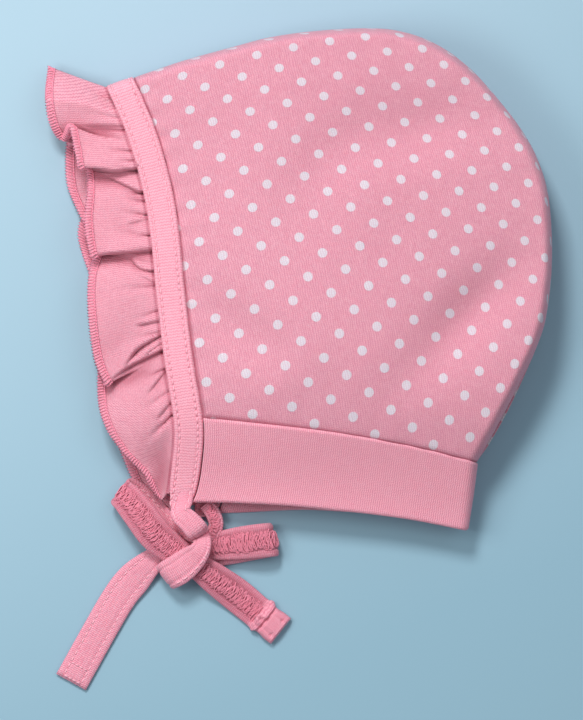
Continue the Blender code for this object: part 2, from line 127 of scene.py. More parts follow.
# Soft hollows in the upper side. Places are shares as above, depth a share of the puff, length and
# width shares of the cap's depth, and turn the direction of the length in degrees.
Dent = namedtuple("Dent", "depth_at height_at depth length width turn")
DENTS = (
    Dent(0.800, 0.340, 0.215, 0.180, 0.070, 48),
    Dent(0.660, 0.760, 0.160, 0.210, 0.085, 10),
    Dent(0.260, 0.300, 0.100, 0.130, 0.060, -35),
    Dent(0.420, 0.620, 0.080, 0.150, 0.080, 60),
)

# The ruffle's free edge, from the top of the face to the corner. along is a share of the binding's
# free edge, and where it runs back the ruffle is tucked over itself. rise is a share of the ruffle's
# lift and reach of its width.
Edge = namedtuple("Edge", "along rise reach")
UPPER_EDGE = (
    Edge(0.000, 0.00, 0.88),
    Edge(0.065, 0.50, 1.06),
    Edge(0.120, 0.25, 1.12),
    Edge(0.155, -0.30, 1.02),
    Edge(0.122, 0.80, 0.84),
    Edge(0.163, 1.05, 0.83),
    Edge(0.210, 1.05, 0.83),
    Edge(0.186, -0.35, 0.72),
    Edge(0.250, 0.25, 0.76),
    Edge(0.335, 0.85, 0.89),
    Edge(0.413, 1.00, 0.87),
    Edge(0.388, -0.40, 0.76),
    Edge(0.460, 0.25, 0.93),
    Edge(0.530, 0.60, 0.99),
    Edge(0.600, 0.65, 1.00),
    Edge(0.648, 0.75, 0.92),
    Edge(0.618, -0.40, 0.98),
    Edge(0.685, 0.05, 1.08),
    Edge(0.753, 0.35, 0.98),
    Edge(0.865, 0.35, 0.62),
    Edge(0.930, 0.30, 0.36),
    Edge(0.968, 0.25, 0.14),
)
LOWER_EDGE = (
    Edge(0.000, 0.00, 0.88),
    Edge(0.070, 0.20, 1.00),
    Edge(0.130, 0.65, 0.98),
    Edge(0.165, 0.85, 0.92),
    Edge(0.140, 0.05, 0.90),
    Edge(0.200, 0.10, 1.02),
    Edge(0.260, 0.45, 1.06),
    Edge(0.335, 0.90, 0.93),
    Edge(0.312, 0.05, 0.90),
    Edge(0.370, 0.20, 1.03),
    Edge(0.470, 0.90, 0.88),
    Edge(0.446, 0.05, 0.85),
    Edge(0.520, 0.25, 0.95),
    Edge(0.640, 0.85, 0.90),
    Edge(0.616, 0.05, 0.90),
    Edge(0.690, 0.10, 1.04),
    Edge(0.755, 0.25, 1.10),
    Edge(0.860, 0.15, 1.02),
    Edge(0.925, 0.05, 0.76),
    Edge(0.972, 0.00, 0.34),
)

# The way the ruffle points, in degrees above straight ahead, down the binding's free edge.
Fan = namedtuple("Fan", "along angle")
RUFFLE_FAN = (
    Fan(0.00, 21),
    Fan(0.22, 3),
    Fan(0.45, -4),
    Fan(0.62, -24),
    Fan(0.80, -42),
    Fan(1.00, -60),
)

# The bow, tied in two strips. right and up are tie widths from the knot's middle, level counts
# strands lying on each other, width is a share of the tie's width, and across is the direction of the
# strip's width in degrees.
Strand = namedtuple("Strand", "right up level width across")
KNOT_FROM_END = (0.09, -1.42)
LEFT_TIE = (
    Strand(-0.29, 2.35, 3.05, 0.66, -4),
    Strand(-0.32, 1.90, 3.22, 0.63, 0),
    Strand(-0.36, 1.48, 3.60, 0.60, 12),
    Strand(-0.42, 1.13, 4.45, 0.62, 46),
    Strand(-0.14, 0.84, 4.75, 0.66, 44),
    Strand(0.05, 0.62, 4.60, 0.68, 38),
    Strand(0.13, 0.50, 3.60, 0.62, 32),
    Strand(0.20, 0.36, 3.45, 0.56, 16),
    Strand(0.21, 0.16, 3.90, 0.56, -6),
    Strand(0.10, -0.06, 3.95, 0.68, -33),
    Strand(-0.13, -0.28, 3.60, 0.84, -53),
    Strand(-0.46, -0.54, 3.40, 0.92, -58),
    Strand(-0.76, -0.72, 2.90, 0.90, -53),
    Strand(-0.86, -0.80, 1.75, 0.84, -53),
    Strand(-0.72, -0.74, 0.60, 0.74, -57),
    Strand(-0.35, -0.58, 0.05, 0.72, -60),
    Strand(0.15, -0.28, 0.05, 0.80, -66),
    Strand(0.69, -0.05, 0.05, 0.90, -74),
    Strand(1.30, 0.10, 0.10, 0.97, -77),
    Strand(1.85, 0.22, 0.15, 1.00, -77),
    Strand(2.18, 0.28, 0.40, 1.00, -77),
    Strand(2.33, 0.31, 1.40, 1.00, -77),
    Strand(2.18, 0.31, 2.35, 1.00, -77),
    Strand(1.80, 0.27, 2.45, 1.00, -78),
    Strand(1.25, 0.20, 1.75, 0.96, -80),
    Strand(0.69, 0.12, 1.10, 0.84, -82),
    Strand(0.10, 0.04, 1.00, 0.66, -84),
    Strand(-0.45, 0.02, 1.00, 0.60, -80),
    Strand(-0.95, -0.10, 0.95, 0.60, -60),
    Strand(-1.38, -0.42, 0.75, 0.80, -46),
    Strand(-1.81, -0.85, 0.30, 1.00, -40),
    Strand(-2.25, -1.40, 0.15, 1.00, -34),
    Strand(-2.85, -2.42, 0.10, 1.00, -29),
    Strand(-3.69, -3.93, 0.10, 1.00, -27),
)
RIGHT_TIE = (
    Strand(0.32, 1.36, 1.20, 0.44, 0),
    Strand(0.52, 1.10, 1.35, 0.46, 10),
    Strand(0.62, 0.78, 1.30, 0.44, -12),
    Strand(0.50, 0.50, 1.25, 0.42, -50),
    Strand(0.16, 0.42, 1.30, 0.42, -84),
    Strand(-0.26, 0.50, 1.35, 0.50, -100),
    Strand(-0.68, 0.66, 1.20, 0.62, -112),
    Strand(-1.08, 0.94, 0.75, 0.85, -128),
    Strand(-1.50, 1.34, 0.55, 0.95, -132),
    Strand(-1.86, 1.66, 0.62, 0.92, -128),
    Strand(-2.16, 1.70, 1.65, 0.90, -132),
    Strand(-1.98, 1.50, 2.75, 0.92, -132),
    Strand(-1.62, 1.04, 3.25, 0.97, -136),
    Strand(-1.20, 0.50, 3.15, 1.00, -134),
    Strand(-0.75, 0.10, 2.55, 0.92, -134),
    Strand(-0.28, -0.22, 2.15, 0.78, -134),
    Strand(0.15, -0.52, 2.10, 0.80, -131),
    Strand(0.60, -0.86, 1.35, 0.92, -129),
    Strand(1.10, -1.24, 0.40, 1.00, -128),
    Strand(1.45, -1.52, 0.15, 1.00, -128),
    Strand(1.86, -1.86, 0.20, 0.98, -128),
    Strand(1.99, -1.96, 0.30, 1.10, -128),
    Strand(2.12, -2.07, 0.20, 0.92, -128),
    Strand(2.35, -2.26, 0.12, 0.98, -128),
    Strand(2.55, -2.42, 0.10, 0.97, -128),
)


def plan(share):
    """A point of the plan in metres, from its shares."""
    return np.array(
        [
            (share.depth - ORIGIN.depth) * CAP_DEPTH,
            (share.height - ORIGIN.height) * CROWN_HEIGHT,
        ]
    )


def spline(points, steps):
    """A smooth curve through the points, with that many steps from each one to the next."""
    p = np.array(points, float)
    p = np.vstack([2 * p[0] - p[1], p, 2 * p[-1] - p[-2]])
    t = (np.arange(steps) / steps)[:, None]
    spans = [
        0.5
        * (
            2 * b
            + (c - a) * t
            + (2 * a - 5 * b + 4 * c - d) * t**2
            + (3 * b - a - 3 * c + d) * t**3
        )
        for a, b, c, d in zip(p, p[1:], p[2:], p[3:])
    ]
    return np.vstack([*spans, p[-2][None]])


def lengths(line):
    """The distance along the line to each of its points."""
    steps = np.linalg.norm(np.diff(line, axis=0), axis=1)
    return np.concatenate([[0.0], np.cumsum(steps)])


def at_shares(line, shares):
    """The points at those shares of the line's length."""
    along = lengths(line)
    at = np.asarray(shares, float) * along[-1]
    return np.stack([np.interp(at, along, line[:, k]) for k in range(line.shape[1])], axis=1)


def column(rows, key, at):
    """A table's column, read at shares of its along column."""
    return np.interp(at, [r.along for r in rows], [getattr(r, key) for r in rows])


def unit(v):
    return v / np.maximum(np.linalg.norm(v, axis=-1, keepdims=True), 1e-12)


def turned(v, angle):
    """Directions of the plan, turned anticlockwise by the angles."""
    c, s = np.cos(angle), np.sin(angle)
    return np.stack([v[:, 0] * c - v[:, 1] * s, v[:, 0] * s + v[:, 1] * c], axis=1)


def distance(points, line):
    """How far each point of the plan is from a line of many points."""
    a, d = line[:-1], np.diff(line, axis=0)
    offset = points[..., None, :] - a
    t = np.clip((offset * d).sum(-1) / (d * d).sum(-1), 0, 1)
    return np.linalg.norm(offset - t[..., None] * d, axis=-1).min(-1)


def bell(x):
    return np.exp(-(x**2))


# The plan's curves in metres.
FOLD_SEAM = spline([plan(s) for s in FOLD_CURVE], 8)
FACE_SEAM = spline([plan(s) for s in FACE_CURVE], 8)
NECK_START = at_shares(FACE_SEAM, [NECK_CORNER])[0]
NECK_SEAM = spline([NECK_START, *(plan(s) for s in NECK_CURVE)], 8)
TOP_AHEAD = unit(FOLD_SEAM[0] - FOLD_SEAM[1])
NAPE_DOWN = np.array([-math.sin(NAPE_LEAN), -math.cos(NAPE_LEAN)])


def binding_directions(along):
    """The binding's width in the plan: along the fold line at the top, square to the face seam below."""
    tangent = unit(np.gradient(at_shares(FACE_SEAM, along), axis=0))
    square = np.stack([tangent[:, 1], -tangent[:, 0]], axis=1)
    blend = np.clip(along * lengths(FACE_SEAM)[-1] / (2 * UPPER_ROUND), 0, 1)[:, None]
    turn = END_SLANT * np.clip(1 - (1 - along) / SLANT_SHARE, 0, 1) ** 2
    square = turned(square, turn)
    return unit(TOP_AHEAD * (1 - blend) + square * blend)


def band_heights(along):
    return NECKBAND_HEIGHT * column(BAND_TAPER, "height", along)


def band_directions(along):
    """The neckband's height direction in the plan, from the face seam's end round to the nape's fold."""
    front = unit(FACE_SEAM[-1] - NECK_START)
    return unit(front * (1 - along[:, None]) + NAPE_DOWN * along[:, None])


EVEN = np.linspace(0, 1, 60)
FACE_EDGE = at_shares(FACE_SEAM, EVEN) + binding_directions(EVEN) * BINDING_WIDTH
NECK_EDGE = at_shares(NECK_SEAM, EVEN) + band_directions(EVEN) * band_heights(EVEN)[:, None]
CORNER = FACE_SEAM[-1]
BAG_FOLD = np.vstack(
    [
        FOLD_SEAM[0] + TOP_AHEAD * (BINDING_WIDTH + RUFFLE_WIDTH),
        FOLD_SEAM,
        FOLD_SEAM[-1] + NAPE_DOWN * 2 * NECKBAND_HEIGHT,
    ]
)


def rounding(points, width, power=2.0):
    """0 at the fold line, rising in a quarter round to 1 at that width inside it."""
    inward = np.clip(distance(points, BAG_FOLD) / width, 0, 1)
    return (1 - (1 - inward) ** power) ** (1 / power)


def dents(points):
    total = np.zeros(points.shape[:-1])
    for dent in DENTS:
        turn = math.radians(dent.turn)
        offset = points - plan(Share(dent.depth_at, dent.height_at))
        along = offset @ np.array([math.cos(turn), math.sin(turn)])
        aside = offset @ np.array([-math.sin(turn), math.cos(turn)])
        reach = (along / (dent.length * CAP_DEPTH)) ** 2 + (aside / (dent.width * CAP_DEPTH)) ** 2
        total += dent.depth * PUFF * np.exp(-reach)
    return total


def upper_height(points):
    """Height of the upper side over the plan: lower at each opening and at the bow's corner."""
    drops = (
        (PUFF - FACE_RISE) * bell(distance(points, FACE_EDGE) / FALL),
        (PUFF - NECK_RISE) * bell(distance(points, NECK_EDGE) / FALL),
        (PUFF - CORNER_RISE) * bell(np.linalg.norm(points - CORNER, axis=-1) / FALL),
    )
    top = PUFF - sum(d**4 for d in drops) ** 0.25 - dents(points)
    return SEAM_LIFT + (top - SEAM_LIFT) * rounding(points, SHOULDER, SHOULDER_POWER)


def lower_height(points):
    """Height of the lower side: flat on the surface inside its rounding."""
    return SEAM_LIFT * (1 - rounding(points, LOWER_ROUND))


def slipped(points):
    """The lower side's plan, slipped towards the nape at its front corner."""
    near = bell(np.linalg.norm(points - CORNER, axis=-1) / SLIP_REACH)
    return points + near[..., None] * SLIP * np.array([1.0, -SLIP_DOWN])


def on_side(points, side):
    """Points of the bag over points of the plan, on its upper (1) or lower (-1) side."""
    if side > 0:
        return np.concatenate([points, upper_height(points)[..., None]], axis=-1)
    return np.concatenate([slipped(points), lower_height(points)[..., None]], axis=-1)


# Fine mesh counts.
FACE_LINES = 200
NECK_LINES = 120
PANEL_ROWS = 110
BAND_LINES = 210
BAND_ACROSS = 46
BINDING_LINES = 380
BINDING_ACROSS = 34
RUFFLE_STEPS = (22, 10)  # on the upper and on the lower side
RUFFLE_ACROSS = 54
TIE_FINE_STEPS = 16
TIE_ACROSS = 28

# The floor, in metres and in colours as a screen shows them, shaded and lit for a painted fall of light
# across it.
FLOOR_REACH = 3.0
FLOOR_DROP = 0.00003  # under the surface on which the bonnet lies, so that the two don't meet face to face
FLOOR_SHADED = (146, 182, 200)
FLOOR_LIT = (168, 196, 212)

# The light: a key from beyond the crown, a small near one over the ruffle, a wide fill, and a pale sky.
Light = namedtuple("Light", "name place size power colour")
LIGHTS = (
    Light("key", (-0.25, 0.66, 0.95), 0.28, 9.2, (1.0, 0.985, 0.965)),
    Light("near", (-0.30, 0.02, 0.42), 0.22, 0.86, (1.0, 0.985, 0.97)),
    Light("fill", (0.60, 0.25, 1.2), 0.9, 2.2, (0.92, 0.975, 1.0)),
)
LIT_PLACE = (-0.02, -0.03, 0.0)
SKY_COLOUR = (0.90, 0.96, 1.0, 1.0)
SKY_STRENGTH = 0.31

# The camera looks straight down. The frame has this height at this distance.
FRAME_MIDDLE = (-0.0199, -0.0306)
FRAME_HEIGHT = 0.2448
SCALE_DISTANCE = 1.99
CAMERA_HEIGHT = 2.0
SENSOR = 36

# The print: a centred grid of dots, in metres.
DOT_ROW = 0.0128
DOT_COLUMN = 0.0134
DOT_RADIUS = 0.00160
DOT_BLUR = 0.00010
DOT_RAGGED = 0.00022
LOOP_WIDTH = 0.00078  # the jersey's loops
LOOP_HEIGHT = 0.00066

# Some of the dots, read off enlarged views of the photograph: where they lie on the crown, and
# how many rows and columns each is from one in the middle.
Dot = namedtuple("Dot", "depth height across down")
DOTS = (
    Dot(0.079, 0.840, -4.0, -5.0),
    Dot(0.291, 0.925, -1.5, -5.5),
    Dot(0.434, 0.925, 0.0, -5.0),
    Dot(0.608, 0.947, 2.0, -5.0),
    Dot(0.744, 0.915, 3.5, -4.5),
    Dot(0.841, 0.840, 4.5, -3.5),
    Dot(0.910, 0.721, 5.0, -2.0),
    Dot(0.967, 0.564, 5.0, 0.0),
    Dot(0.953, 0.422, 4.5, 1.5),
    Dot(0.941, 0.277, 4.0, 3.0),
    Dot(0.865, 0.175, 3.0, 4.0),
    Dot(0.756, 0.097, 1.5, 4.5),
    Dot(0.523, 0.105, -1.0, 4.0),
    Dot(0.290, 0.113, -3.5, 3.5),
    Dot(0.171, 0.184, -4.5, 2.5),
    Dot(0.135, 0.365, -4.5, 0.5),
    Dot(0.146, 0.589, -4.0, -2.0),
    Dot(0.101, 0.759, -4.0, -4.0),
    Dot(0.297, 0.726, -2.0, -3.0),
    Dot(0.476, 0.763, 0.0, -3.0),
    Dot(0.647, 0.781, 2.0, -3.0),
    Dot(0.716, 0.654, 2.5, -1.5),
    Dot(0.407, 0.661, -1.0, -2.0),
    Dot(0.340, 0.317, -2.5, 1.5),
    Dot(0.453, 0.240, -1.5, 2.5),
    Dot(0.616, 0.368, 0.5, 1.5),
    Dot(0.792, 0.400, 2.5, 1.5),
    Dot(0.737, 0.192, 1.5, 3.5),
)

# How far the lower panel shows outside the upper one at the back of the head, and over which share of
# the seam.
PEEK = 0.0015
PEEK_AT = 0.94
PEEK_REACH = 0.080

# How far the crown and the ruffle go in under the trims that are sewn over them.
TUCK = 0.0016
TUCK_DROP = 0.0009

# How far the faces that lie lowest stay over the floor.
LOWEST = 0.00004  # threads
TIE_CLEAR = 0.00005
CLOTH_CLEAR = 0.0001

# The seams round the crown: a painted shade line along them, a dip beside it, and painted shade on the
# lower panel's rim where it shows outside the upper one.
SEAM_SHADE = 0.75
SEAM_LINE = 0.00045
SEAM_DIP = 0.0006
DIP_REACH = 0.0008
UNDER_SHADE = 0.85
TUCK_LINES = 12  # lines of the panel over which its tucked-in rim narrows to nothing at each end

# The ruffle's fine form: ripples of its edge, swells between its folds, and gathers at its root.
FRILL = 0.00030
FRILL_RUN = 0.0021
BILLOW = 0.0018
BILLOW_RUN = 0.0085
GATHER = 0.0017

# Stitches, in metres.
NEEDLE_SPREAD = 0.0064
NEEDLES = (0.0017, 0.0017 + NEEDLE_SPREAD)  # how far the binding's two rows are from its seam
STITCH = 0.0024
THREAD = 0.00017
OVERLOCK_WIDTH = 0.0024
OVERLOCK_PITCH = 0.00105
LACE_PITCH = 0.00165
STITCH_RISE = THREAD * np.array([-1.4, 0.6, 1.0, 1.0, 0.6, -1.4])
STITCH_ROUND = THREAD * np.array([0.7, 1.35, 1.5, 1.5, 1.35, 0.7])
STITCH_SHARE = np.linspace(0, 0.78, 6)  # the places of those values along a stitch
CROWDING = 0.92  # how closely a tie's lines crowd at its edges, up to 1

# Rows of stitches on the left tie: the first and the last of the strands between which they run, and
# their place across from -0.5 to 0.5. The last two are the tail's, on both faces. It is also sewn
# across at its end, at these distances from its tip.
LEFT_ROWS = (
    (8.2, 12.5, 0.36),
    (0.8, 3.6, -0.31),
    (0.8, 3.6, 0.31),
    (28.5, 34, -0.29),
    (28.5, 34, 0.29),
)
LEFT_CROSSINGS = (0.0062, 0.0011)

# Places on the right tie's end, which is turned over and sewn down, in metres from its tip.
END_LUMP = 0.0083
END_FOLD = 0.0078
END_DIP = 0.0066
END_PITS = 0.0020


def crowded(count):
    """Shares from 0 to 1 that lie close together at 0, where the bag is rounded at its fold."""
    return np.linspace(0, 1, count) ** 1.3


def waves(points, length, seed, count=7):
    """A smooth uneven surface of about that wavelength over the plan, from -1 to 1."""
    rng = np.random.default_rng(seed)
    total = np.zeros(points.shape[:-1])
    for k in range(count):
        angle = rng.uniform(0, 2 * math.pi)
        ahead = np.array([math.cos(angle), math.sin(angle)])
        size = length * rng.uniform(0.75, 1.5)
        phase = rng.uniform(0, 2 * math.pi)
        total += np.sin(2 * math.pi / size * (points @ ahead) + phase)
    return total / count


def nearest(points, line):
    """Each point's distance from a line of the plan, how far along it that is, and how far to its left."""
    along = lengths(line)
    a, d = line[:-1], np.diff(line, axis=0)
    size = (d * d).sum(-1)
    best = np.full(points.shape[:-1], 9.0)
    place = np.zeros(points.shape[:-1])
    left = np.zeros(points.shape[:-1])
    for k in range(len(a)):
        offset = points - a[k]
        t = np.clip((offset @ d[k]) / size[k], 0, 1)
        gap = np.linalg.norm(offset - t[..., None] * d[k], axis=-1)
        closer = gap < best
        best[closer] = gap[closer]
        place[closer] = (along[k] + t * math.sqrt(size[k]))[closer]
        left[closer] = ((d[k][0] * offset[..., 1] - d[k][1] * offset[..., 0]) / math.sqrt(size[k]))[closer]
    return best, place, left


def grid_normals(grid, rows, side=1):
    """Unit normals of a grid of points that point up (1) or down (-1) over its first rows."""
    n = unit(np.cross(np.gradient(grid, axis=0), np.gradient(grid, axis=1)))
    return n * np.sign(side * n[:rows, :, 2].mean())


def summed(steps):
    """The length run along each row of steps, from 0."""
    return np.concatenate([np.zeros((len(steps), 1)), np.cumsum(steps, axis=1)], axis=1)


def two_faces(grid, n, half):
    """The outer and the inner face of a cloth of that half thickness."""
    return grid + n * half[..., None], grid - n * half[..., None]


def powers(points):
    """The terms of a cubic over the plan, in units of the cap's depth."""
    x, y = points[..., 0] / CAP_DEPTH, points[..., 1] / CAP_DEPTH
    return np.stack([x**i * y**j for i in range(4) for j in range(4 - i)], -1)


def print_at(points):
    """The print's coordinates, in dots along the rows and down the columns."""
    known = powers(np.array([plan(Share(d.depth, d.height)) for d in DOTS]))
    count = np.array([(d.across, d.down) for d in DOTS])
    return powers(points) @ np.linalg.lstsq(known, count, rcond=None)[0]


def add(name, data):
    """A new object of the scene."""
    obj = bpy.data.objects.new(name, data)
    bpy.context.scene.collection.objects.link(obj)
    return obj


def shell(name, outer, inner, uv, shades, material):
    """A closed wall of cloth between two grids of points. shades holds the depth of painted shade at each
    point of each.
    """
    rows, columns = outer.shape[:2]
    count = rows * columns
    points = np.vstack([outer.reshape(-1, 3), inner.reshape(-1, 3)])
    index = np.arange(count).reshape(rows, columns)
    top = np.stack([index[:-1, :-1], index[1:, :-1], index[1:, 1:], index[:-1, 1:]], -1).reshape(-1, 4)
    border = np.concatenate([index[:, 0], index[-1, 1:], index[-2::-1, -1], index[0, -2:0:-1]])
    after = np.roll(border, -1)
    sides = np.stack([after, border, border + count, after + count], -1)
    faces = np.vstack([top, top[:, ::-1] + count, sides])
    face_normal = np.cross(points[top[:, 2]] - points[top[:, 0]], points[top[:, 3]] - points[top[:, 1]])
    outward = (outer - inner).reshape(-1, 3)[top[:, 0]]
    if (face_normal * outward).sum() < 0:
        faces = faces[:, ::-1]
    mesh = bpy.data.meshes.new(name)
    mesh.vertices.add(len(points))
    mesh.vertices.foreach_set("co", points.astype(np.float32).ravel())
    mesh.loops.add(faces.size)
    mesh.loops.foreach_set("vertex_index", faces.astype(np.int32).ravel())
    mesh.polygons.add(len(faces))
    mesh.polygons.foreach_set("loop_start", np.arange(0, faces.size, 4, dtype=np.int32))
    mesh.polygons.foreach_set("loop_total", np.full(len(faces), 4, dtype=np.int32))
    mesh.update(calc_edges=True)
    flat_uv = np.vstack([uv.reshape(-1, 2)] * 2)
    layer = mesh.uv_layers.new(name="cloth")
    layer.data.foreach_set("uv", flat_uv[faces.ravel()].astype(np.float32).ravel())
    shade_layer = mesh.attributes.new("shade", "FLOAT", "POINT")
    shade_layer.data.foreach_set("value", np.stack(shades).astype(np.float32).ravel())
    mesh.shade_smooth()
    mesh.materials.append(material)
    return add(name, mesh)


def tubes(name, paths, radius, sides, material):
    """Many short threads as one mesh, from a row of points for each and a radius for each point."""
    paths = np.asarray(paths, float)
    count, steps = paths.shape[:2]
    radius = np.broadcast_to(np.asarray(radius, float), (count, steps))
    along = unit(np.gradient(paths, axis=1))
    up = np.zeros_like(along)
    up[..., 2] = 1.0
    steep = np.abs(along[..., 2]) > 0.95
    up[steep] = [1.0, 0.0, 0.0]
    side = unit(np.cross(along, up))
    top = np.cross(side, along)
    turn = np.linspace(0, 2 * math.pi, sides, endpoint=False)
    ring = side[:, :, None] * np.cos(turn)[:, None] + top[:, :, None] * np.sin(turn)[:, None]
    points = paths[:, :, None] + ring * radius[:, :, None, None]
    points[..., 2] = np.maximum(points[..., 2], LOWEST)
    index = np.arange(count * steps * sides).reshape(count, steps, sides)
    a, b = index[:, :-1], index[:, 1:]
    quads = np.stack([a, np.roll(a, -1, 2), np.roll(b, -1, 2), b], -1).reshape(-1, 4)
    mesh = bpy.data.meshes.new(name)
    caps = [tuple(r) for r in index[:, 0]] + [tuple(r[::-1]) for r in index[:, -1]]
    mesh.from_pydata(points.reshape(-1, 3).tolist(), [], [tuple(q[::-1]) for q in quads.tolist()] + caps)
    mesh.shade_smooth()
    mesh.materials.append(material)
    return add(name, mesh)


def read_grid(grid, i, j):
    """Points of a grid at fractional rows and columns."""
    i = np.clip(i, 0, grid.shape[0] - 1.001)
    j = np.clip(j, 0, grid.shape[1] - 1.001)
    a, b = np.floor(i).astype(int), np.floor(j).astype(int)
    s, t = (i - a)[..., None], (j - b)[..., None]
    near = grid[a, b] * (1 - t) + grid[a, b + 1] * t
    far = grid[a + 1, b] * (1 - t) + grid[a + 1, b + 1] * t
    return near * (1 - s) + far * s


# Materials.


def linear(colour):
    """A colour of 0 to 255 as the renderer's linear values."""
    c = np.array(colour, float) / 255
    c = np.where(c <= 0.04045, c / 12.92, ((c + 0.055) / 1.055) ** 2.4)
    return (*c.tolist(), 1.0)


class Nodes:
    """Short ways to put shader nodes into a material."""

    def __init__(self, name):
        self.material = bpy.data.materials.new(name)
        self.material.use_nodes = True
        self.tree = self.material.node_tree
        self.shader = self.tree.nodes["Principled BSDF"]

    def put(self, kind, **values):
        node = self.tree.nodes.new(kind)
        for key, value in values.items():
            setattr(node, key, value)
        return node

    def feed(self, socket, value):
        if isinstance(value, bpy.types.NodeSocket):
            self.tree.links.new(value, socket)
        else:
            socket.default_value = value

    def math(self, operation, a, b=0.0):
        node = self.put("ShaderNodeMath", operation=operation)
        for socket, value in zip(node.inputs, (a, b)):
            self.feed(socket, value)
        return node.outputs[0]

    def plus(self, a, b):
        return self.math("ADD", a, b)

    def minus(self, a, b):
        return self.math("SUBTRACT", a, b)

    def times(self, a, b):
        return self.math("MULTIPLY", a, b)

    def mix(self, share, a, b):
        node = self.put("ShaderNodeMix", data_type="RGBA")
        self.feed(node.inputs[0], share)
        self.feed(node.inputs[6], a)
        self.feed(node.inputs[7], b)
        return node.outputs[2]

    def uv(self):
        node = self.put("ShaderNodeUVMap", uv_map="cloth")
        parts = self.put("ShaderNodeSeparateXYZ")
        self.feed(parts.inputs[0], node.outputs[0])
        return parts.outputs[0], parts.outputs[1]

    def noise(self, scale, detail=2.0, streak=1.0, turn=0.0):
        """Noise over the object, drawn out that many times in a direction of the plan, in degrees."""
        place = self.put("ShaderNodeTexCoord").outputs["Object"]
        if streak != 1.0:
            mapping = self.put("ShaderNodeMapping", vector_type="TEXTURE")
            self.feed(mapping.inputs[0], place)
            mapping.inputs["Rotation"].default_value = (0.0, 0.0, math.radians(turn))
            mapping.inputs["Scale"].default_value = (streak, 1.0, 1.0)
            place = mapping.outputs[0]
        node = self.put("ShaderNodeTexNoise")
        self.feed(node.inputs["Vector"], place)
        node.inputs["Scale"].default_value = scale
        node.inputs["Detail"].default_value = detail
        return node.outputs[0]

    def stray(self, size, scale, detail=2.0):
        """Noise of up to half that size to either side."""
        return self.times(self.minus(self.noise(scale, detail), 0.5), size)

    def tinted(self, cloth, tint):
        """The cloth's colour with a tint in it, where its noise is high."""
        place = self.ramp(self.noise(tint.scale, tint.detail, tint.streak, tint.turn), tint.low, tint.high)
        return self.mix(self.times(place, tint.share), cloth, linear(tint.colour))

    def attribute(self, name):
        return self.put("ShaderNodeAttribute", attribute_name=name).outputs["Fac"]

    def ramp(self, value, low, high, to_low=0.0, to_high=1.0):
        node = self.put("ShaderNodeMapRange", clamp=True)
        for socket, v in zip(node.inputs, (value, low, high, to_low, to_high)):
            self.feed(socket, v)
        return node.outputs[0]

    def bump(self, height, distance, strength=1.0, under=None):
        node = self.put("ShaderNodeBump")
        node.inputs["Strength"].default_value = strength
        node.inputs["Distance"].default_value = distance
        self.feed(node.inputs["Height"], height)
        if under is not None:
            self.feed(node.inputs["Normal"], under)
        return node.outputs[0]

    def finish(self, colour, normal, roughness=0.85, sheen=0.25, scatter=0.22):
        s = self.shader.inputs
        self.feed(s["Base Color"], colour)
        self.feed(s["Normal"], normal)
        s["Roughness"].default_value = roughness
        s["Sheen Weight"].default_value = sheen
        s["Sheen Roughness"].default_value = 0.4
        s["Sheen Tint"].default_value = (1.0, 0.75, 0.82, 1.0)
        s["Specular IOR Level"].default_value = 0.2
        s["Subsurface Weight"].default_value = scatter
        s["Subsurface Radius"].default_value = (1.0, 0.40, 0.44)
        s["Subsurface Scale"].default_value = 0.0022
        return self.material


# Colours as a screen shows them, from 0 to 255.
# The colour of painted shade, mixed into the cloth in seams, creases, folds, between the lace's loops and
# in needle holes.
SHADE_ROSE = linear((146, 44, 70))
# Lit and shaded colours of the jersey and of its dots, mixed by the height of the knit: painted light on
# the loops, painted shade between them.
JERSEY_SHADED = (214, 130, 154)
JERSEY_LIT = (254, 188, 204)
DOT_SHADED = (222, 198, 212)
DOT_LIT = (238, 232, 240)
LOOP_LIGHT = (252, 200, 214)  # the lightest of a rib's loops

# Uneven tones in a cloth. scale and detail set the noise, which is drawn out streak times in the
# direction turn, in degrees. The tint grows from where the noise is low to where it is high, up to
# its share of the colour.
Tint = namedtuple("Tint", "scale detail streak turn low high share colour")
JERSEY_TINTS = (
    Tint(2400.0, 3.0, 4.0, 68.0, 0.40, 0.62, 0.22, (212, 118, 144)),
    Tint(2900.0, 3.0, 3.5, 112.0, 0.42, 0.66, 0.26, (255, 204, 216)),
    Tint(240.0, 3.0, 1.0, 0.0, 0.35, 0.70, 0.10, (216, 130, 154)),
    Tint(22.0, 2.0, 1.0, 0.0, 0.30, 0.70, 0.10, (224, 134, 158)),
)
RIB_TINT = Tint(1100.0, 3.0, 1.0, 0.0, 0.30, 0.70, 0.20, (255, 172, 190))

# Rib cloths: from ridge to ridge, from loop to loop, the ridges' height, and the lit and shaded colours,
# a painted highlight on the ridges and painted shade between them.
Rib = namedtuple("Rib", "ridge loop depth light deep")
RIBS = {
    "neckband_rib": Rib(0.00072, 0.00056, 0.00028, (255, 182, 199), (206, 112, 138)),
    "binding_rib": Rib(0.00098, 0.0006, 0.00016, (253, 184, 200), (224, 130, 153)),
    "ruffle_jersey": Rib(0.00074, 0.0006, 0.00018, (240, 172, 188), (196, 106, 130)),
    "left_tie_rib": Rib(0.0011, 0.00066, 0.00020, (248, 172, 190), (212, 118, 144)),
    "right_tie_rib": Rib(0.0011, 0.00066, 0.00020, (246, 164, 183), (208, 110, 136)),
}
THREADS = {
    "thread": (255, 186, 202),
    "looper_thread": (238, 142, 164),
    "edging_thread": (248, 152, 176),
}


def knit_height(n, u, v):
    """Plain jersey: columns of small slanting loops. u and v are in loops."""
    column = n.math("ABSOLUTE", n.minus(n.math("FRACT", u), 0.5))
    slant = n.plus(v, n.times(column, 1.5))
    loop = n.math("SINE", n.times(slant, 2 * math.pi))
    ridge = n.minus(1.0, n.math("POWER", n.times(column, 2.0), 3.0))
    return n.times(ridge, n.plus(0.64, n.times(loop, 0.36)))


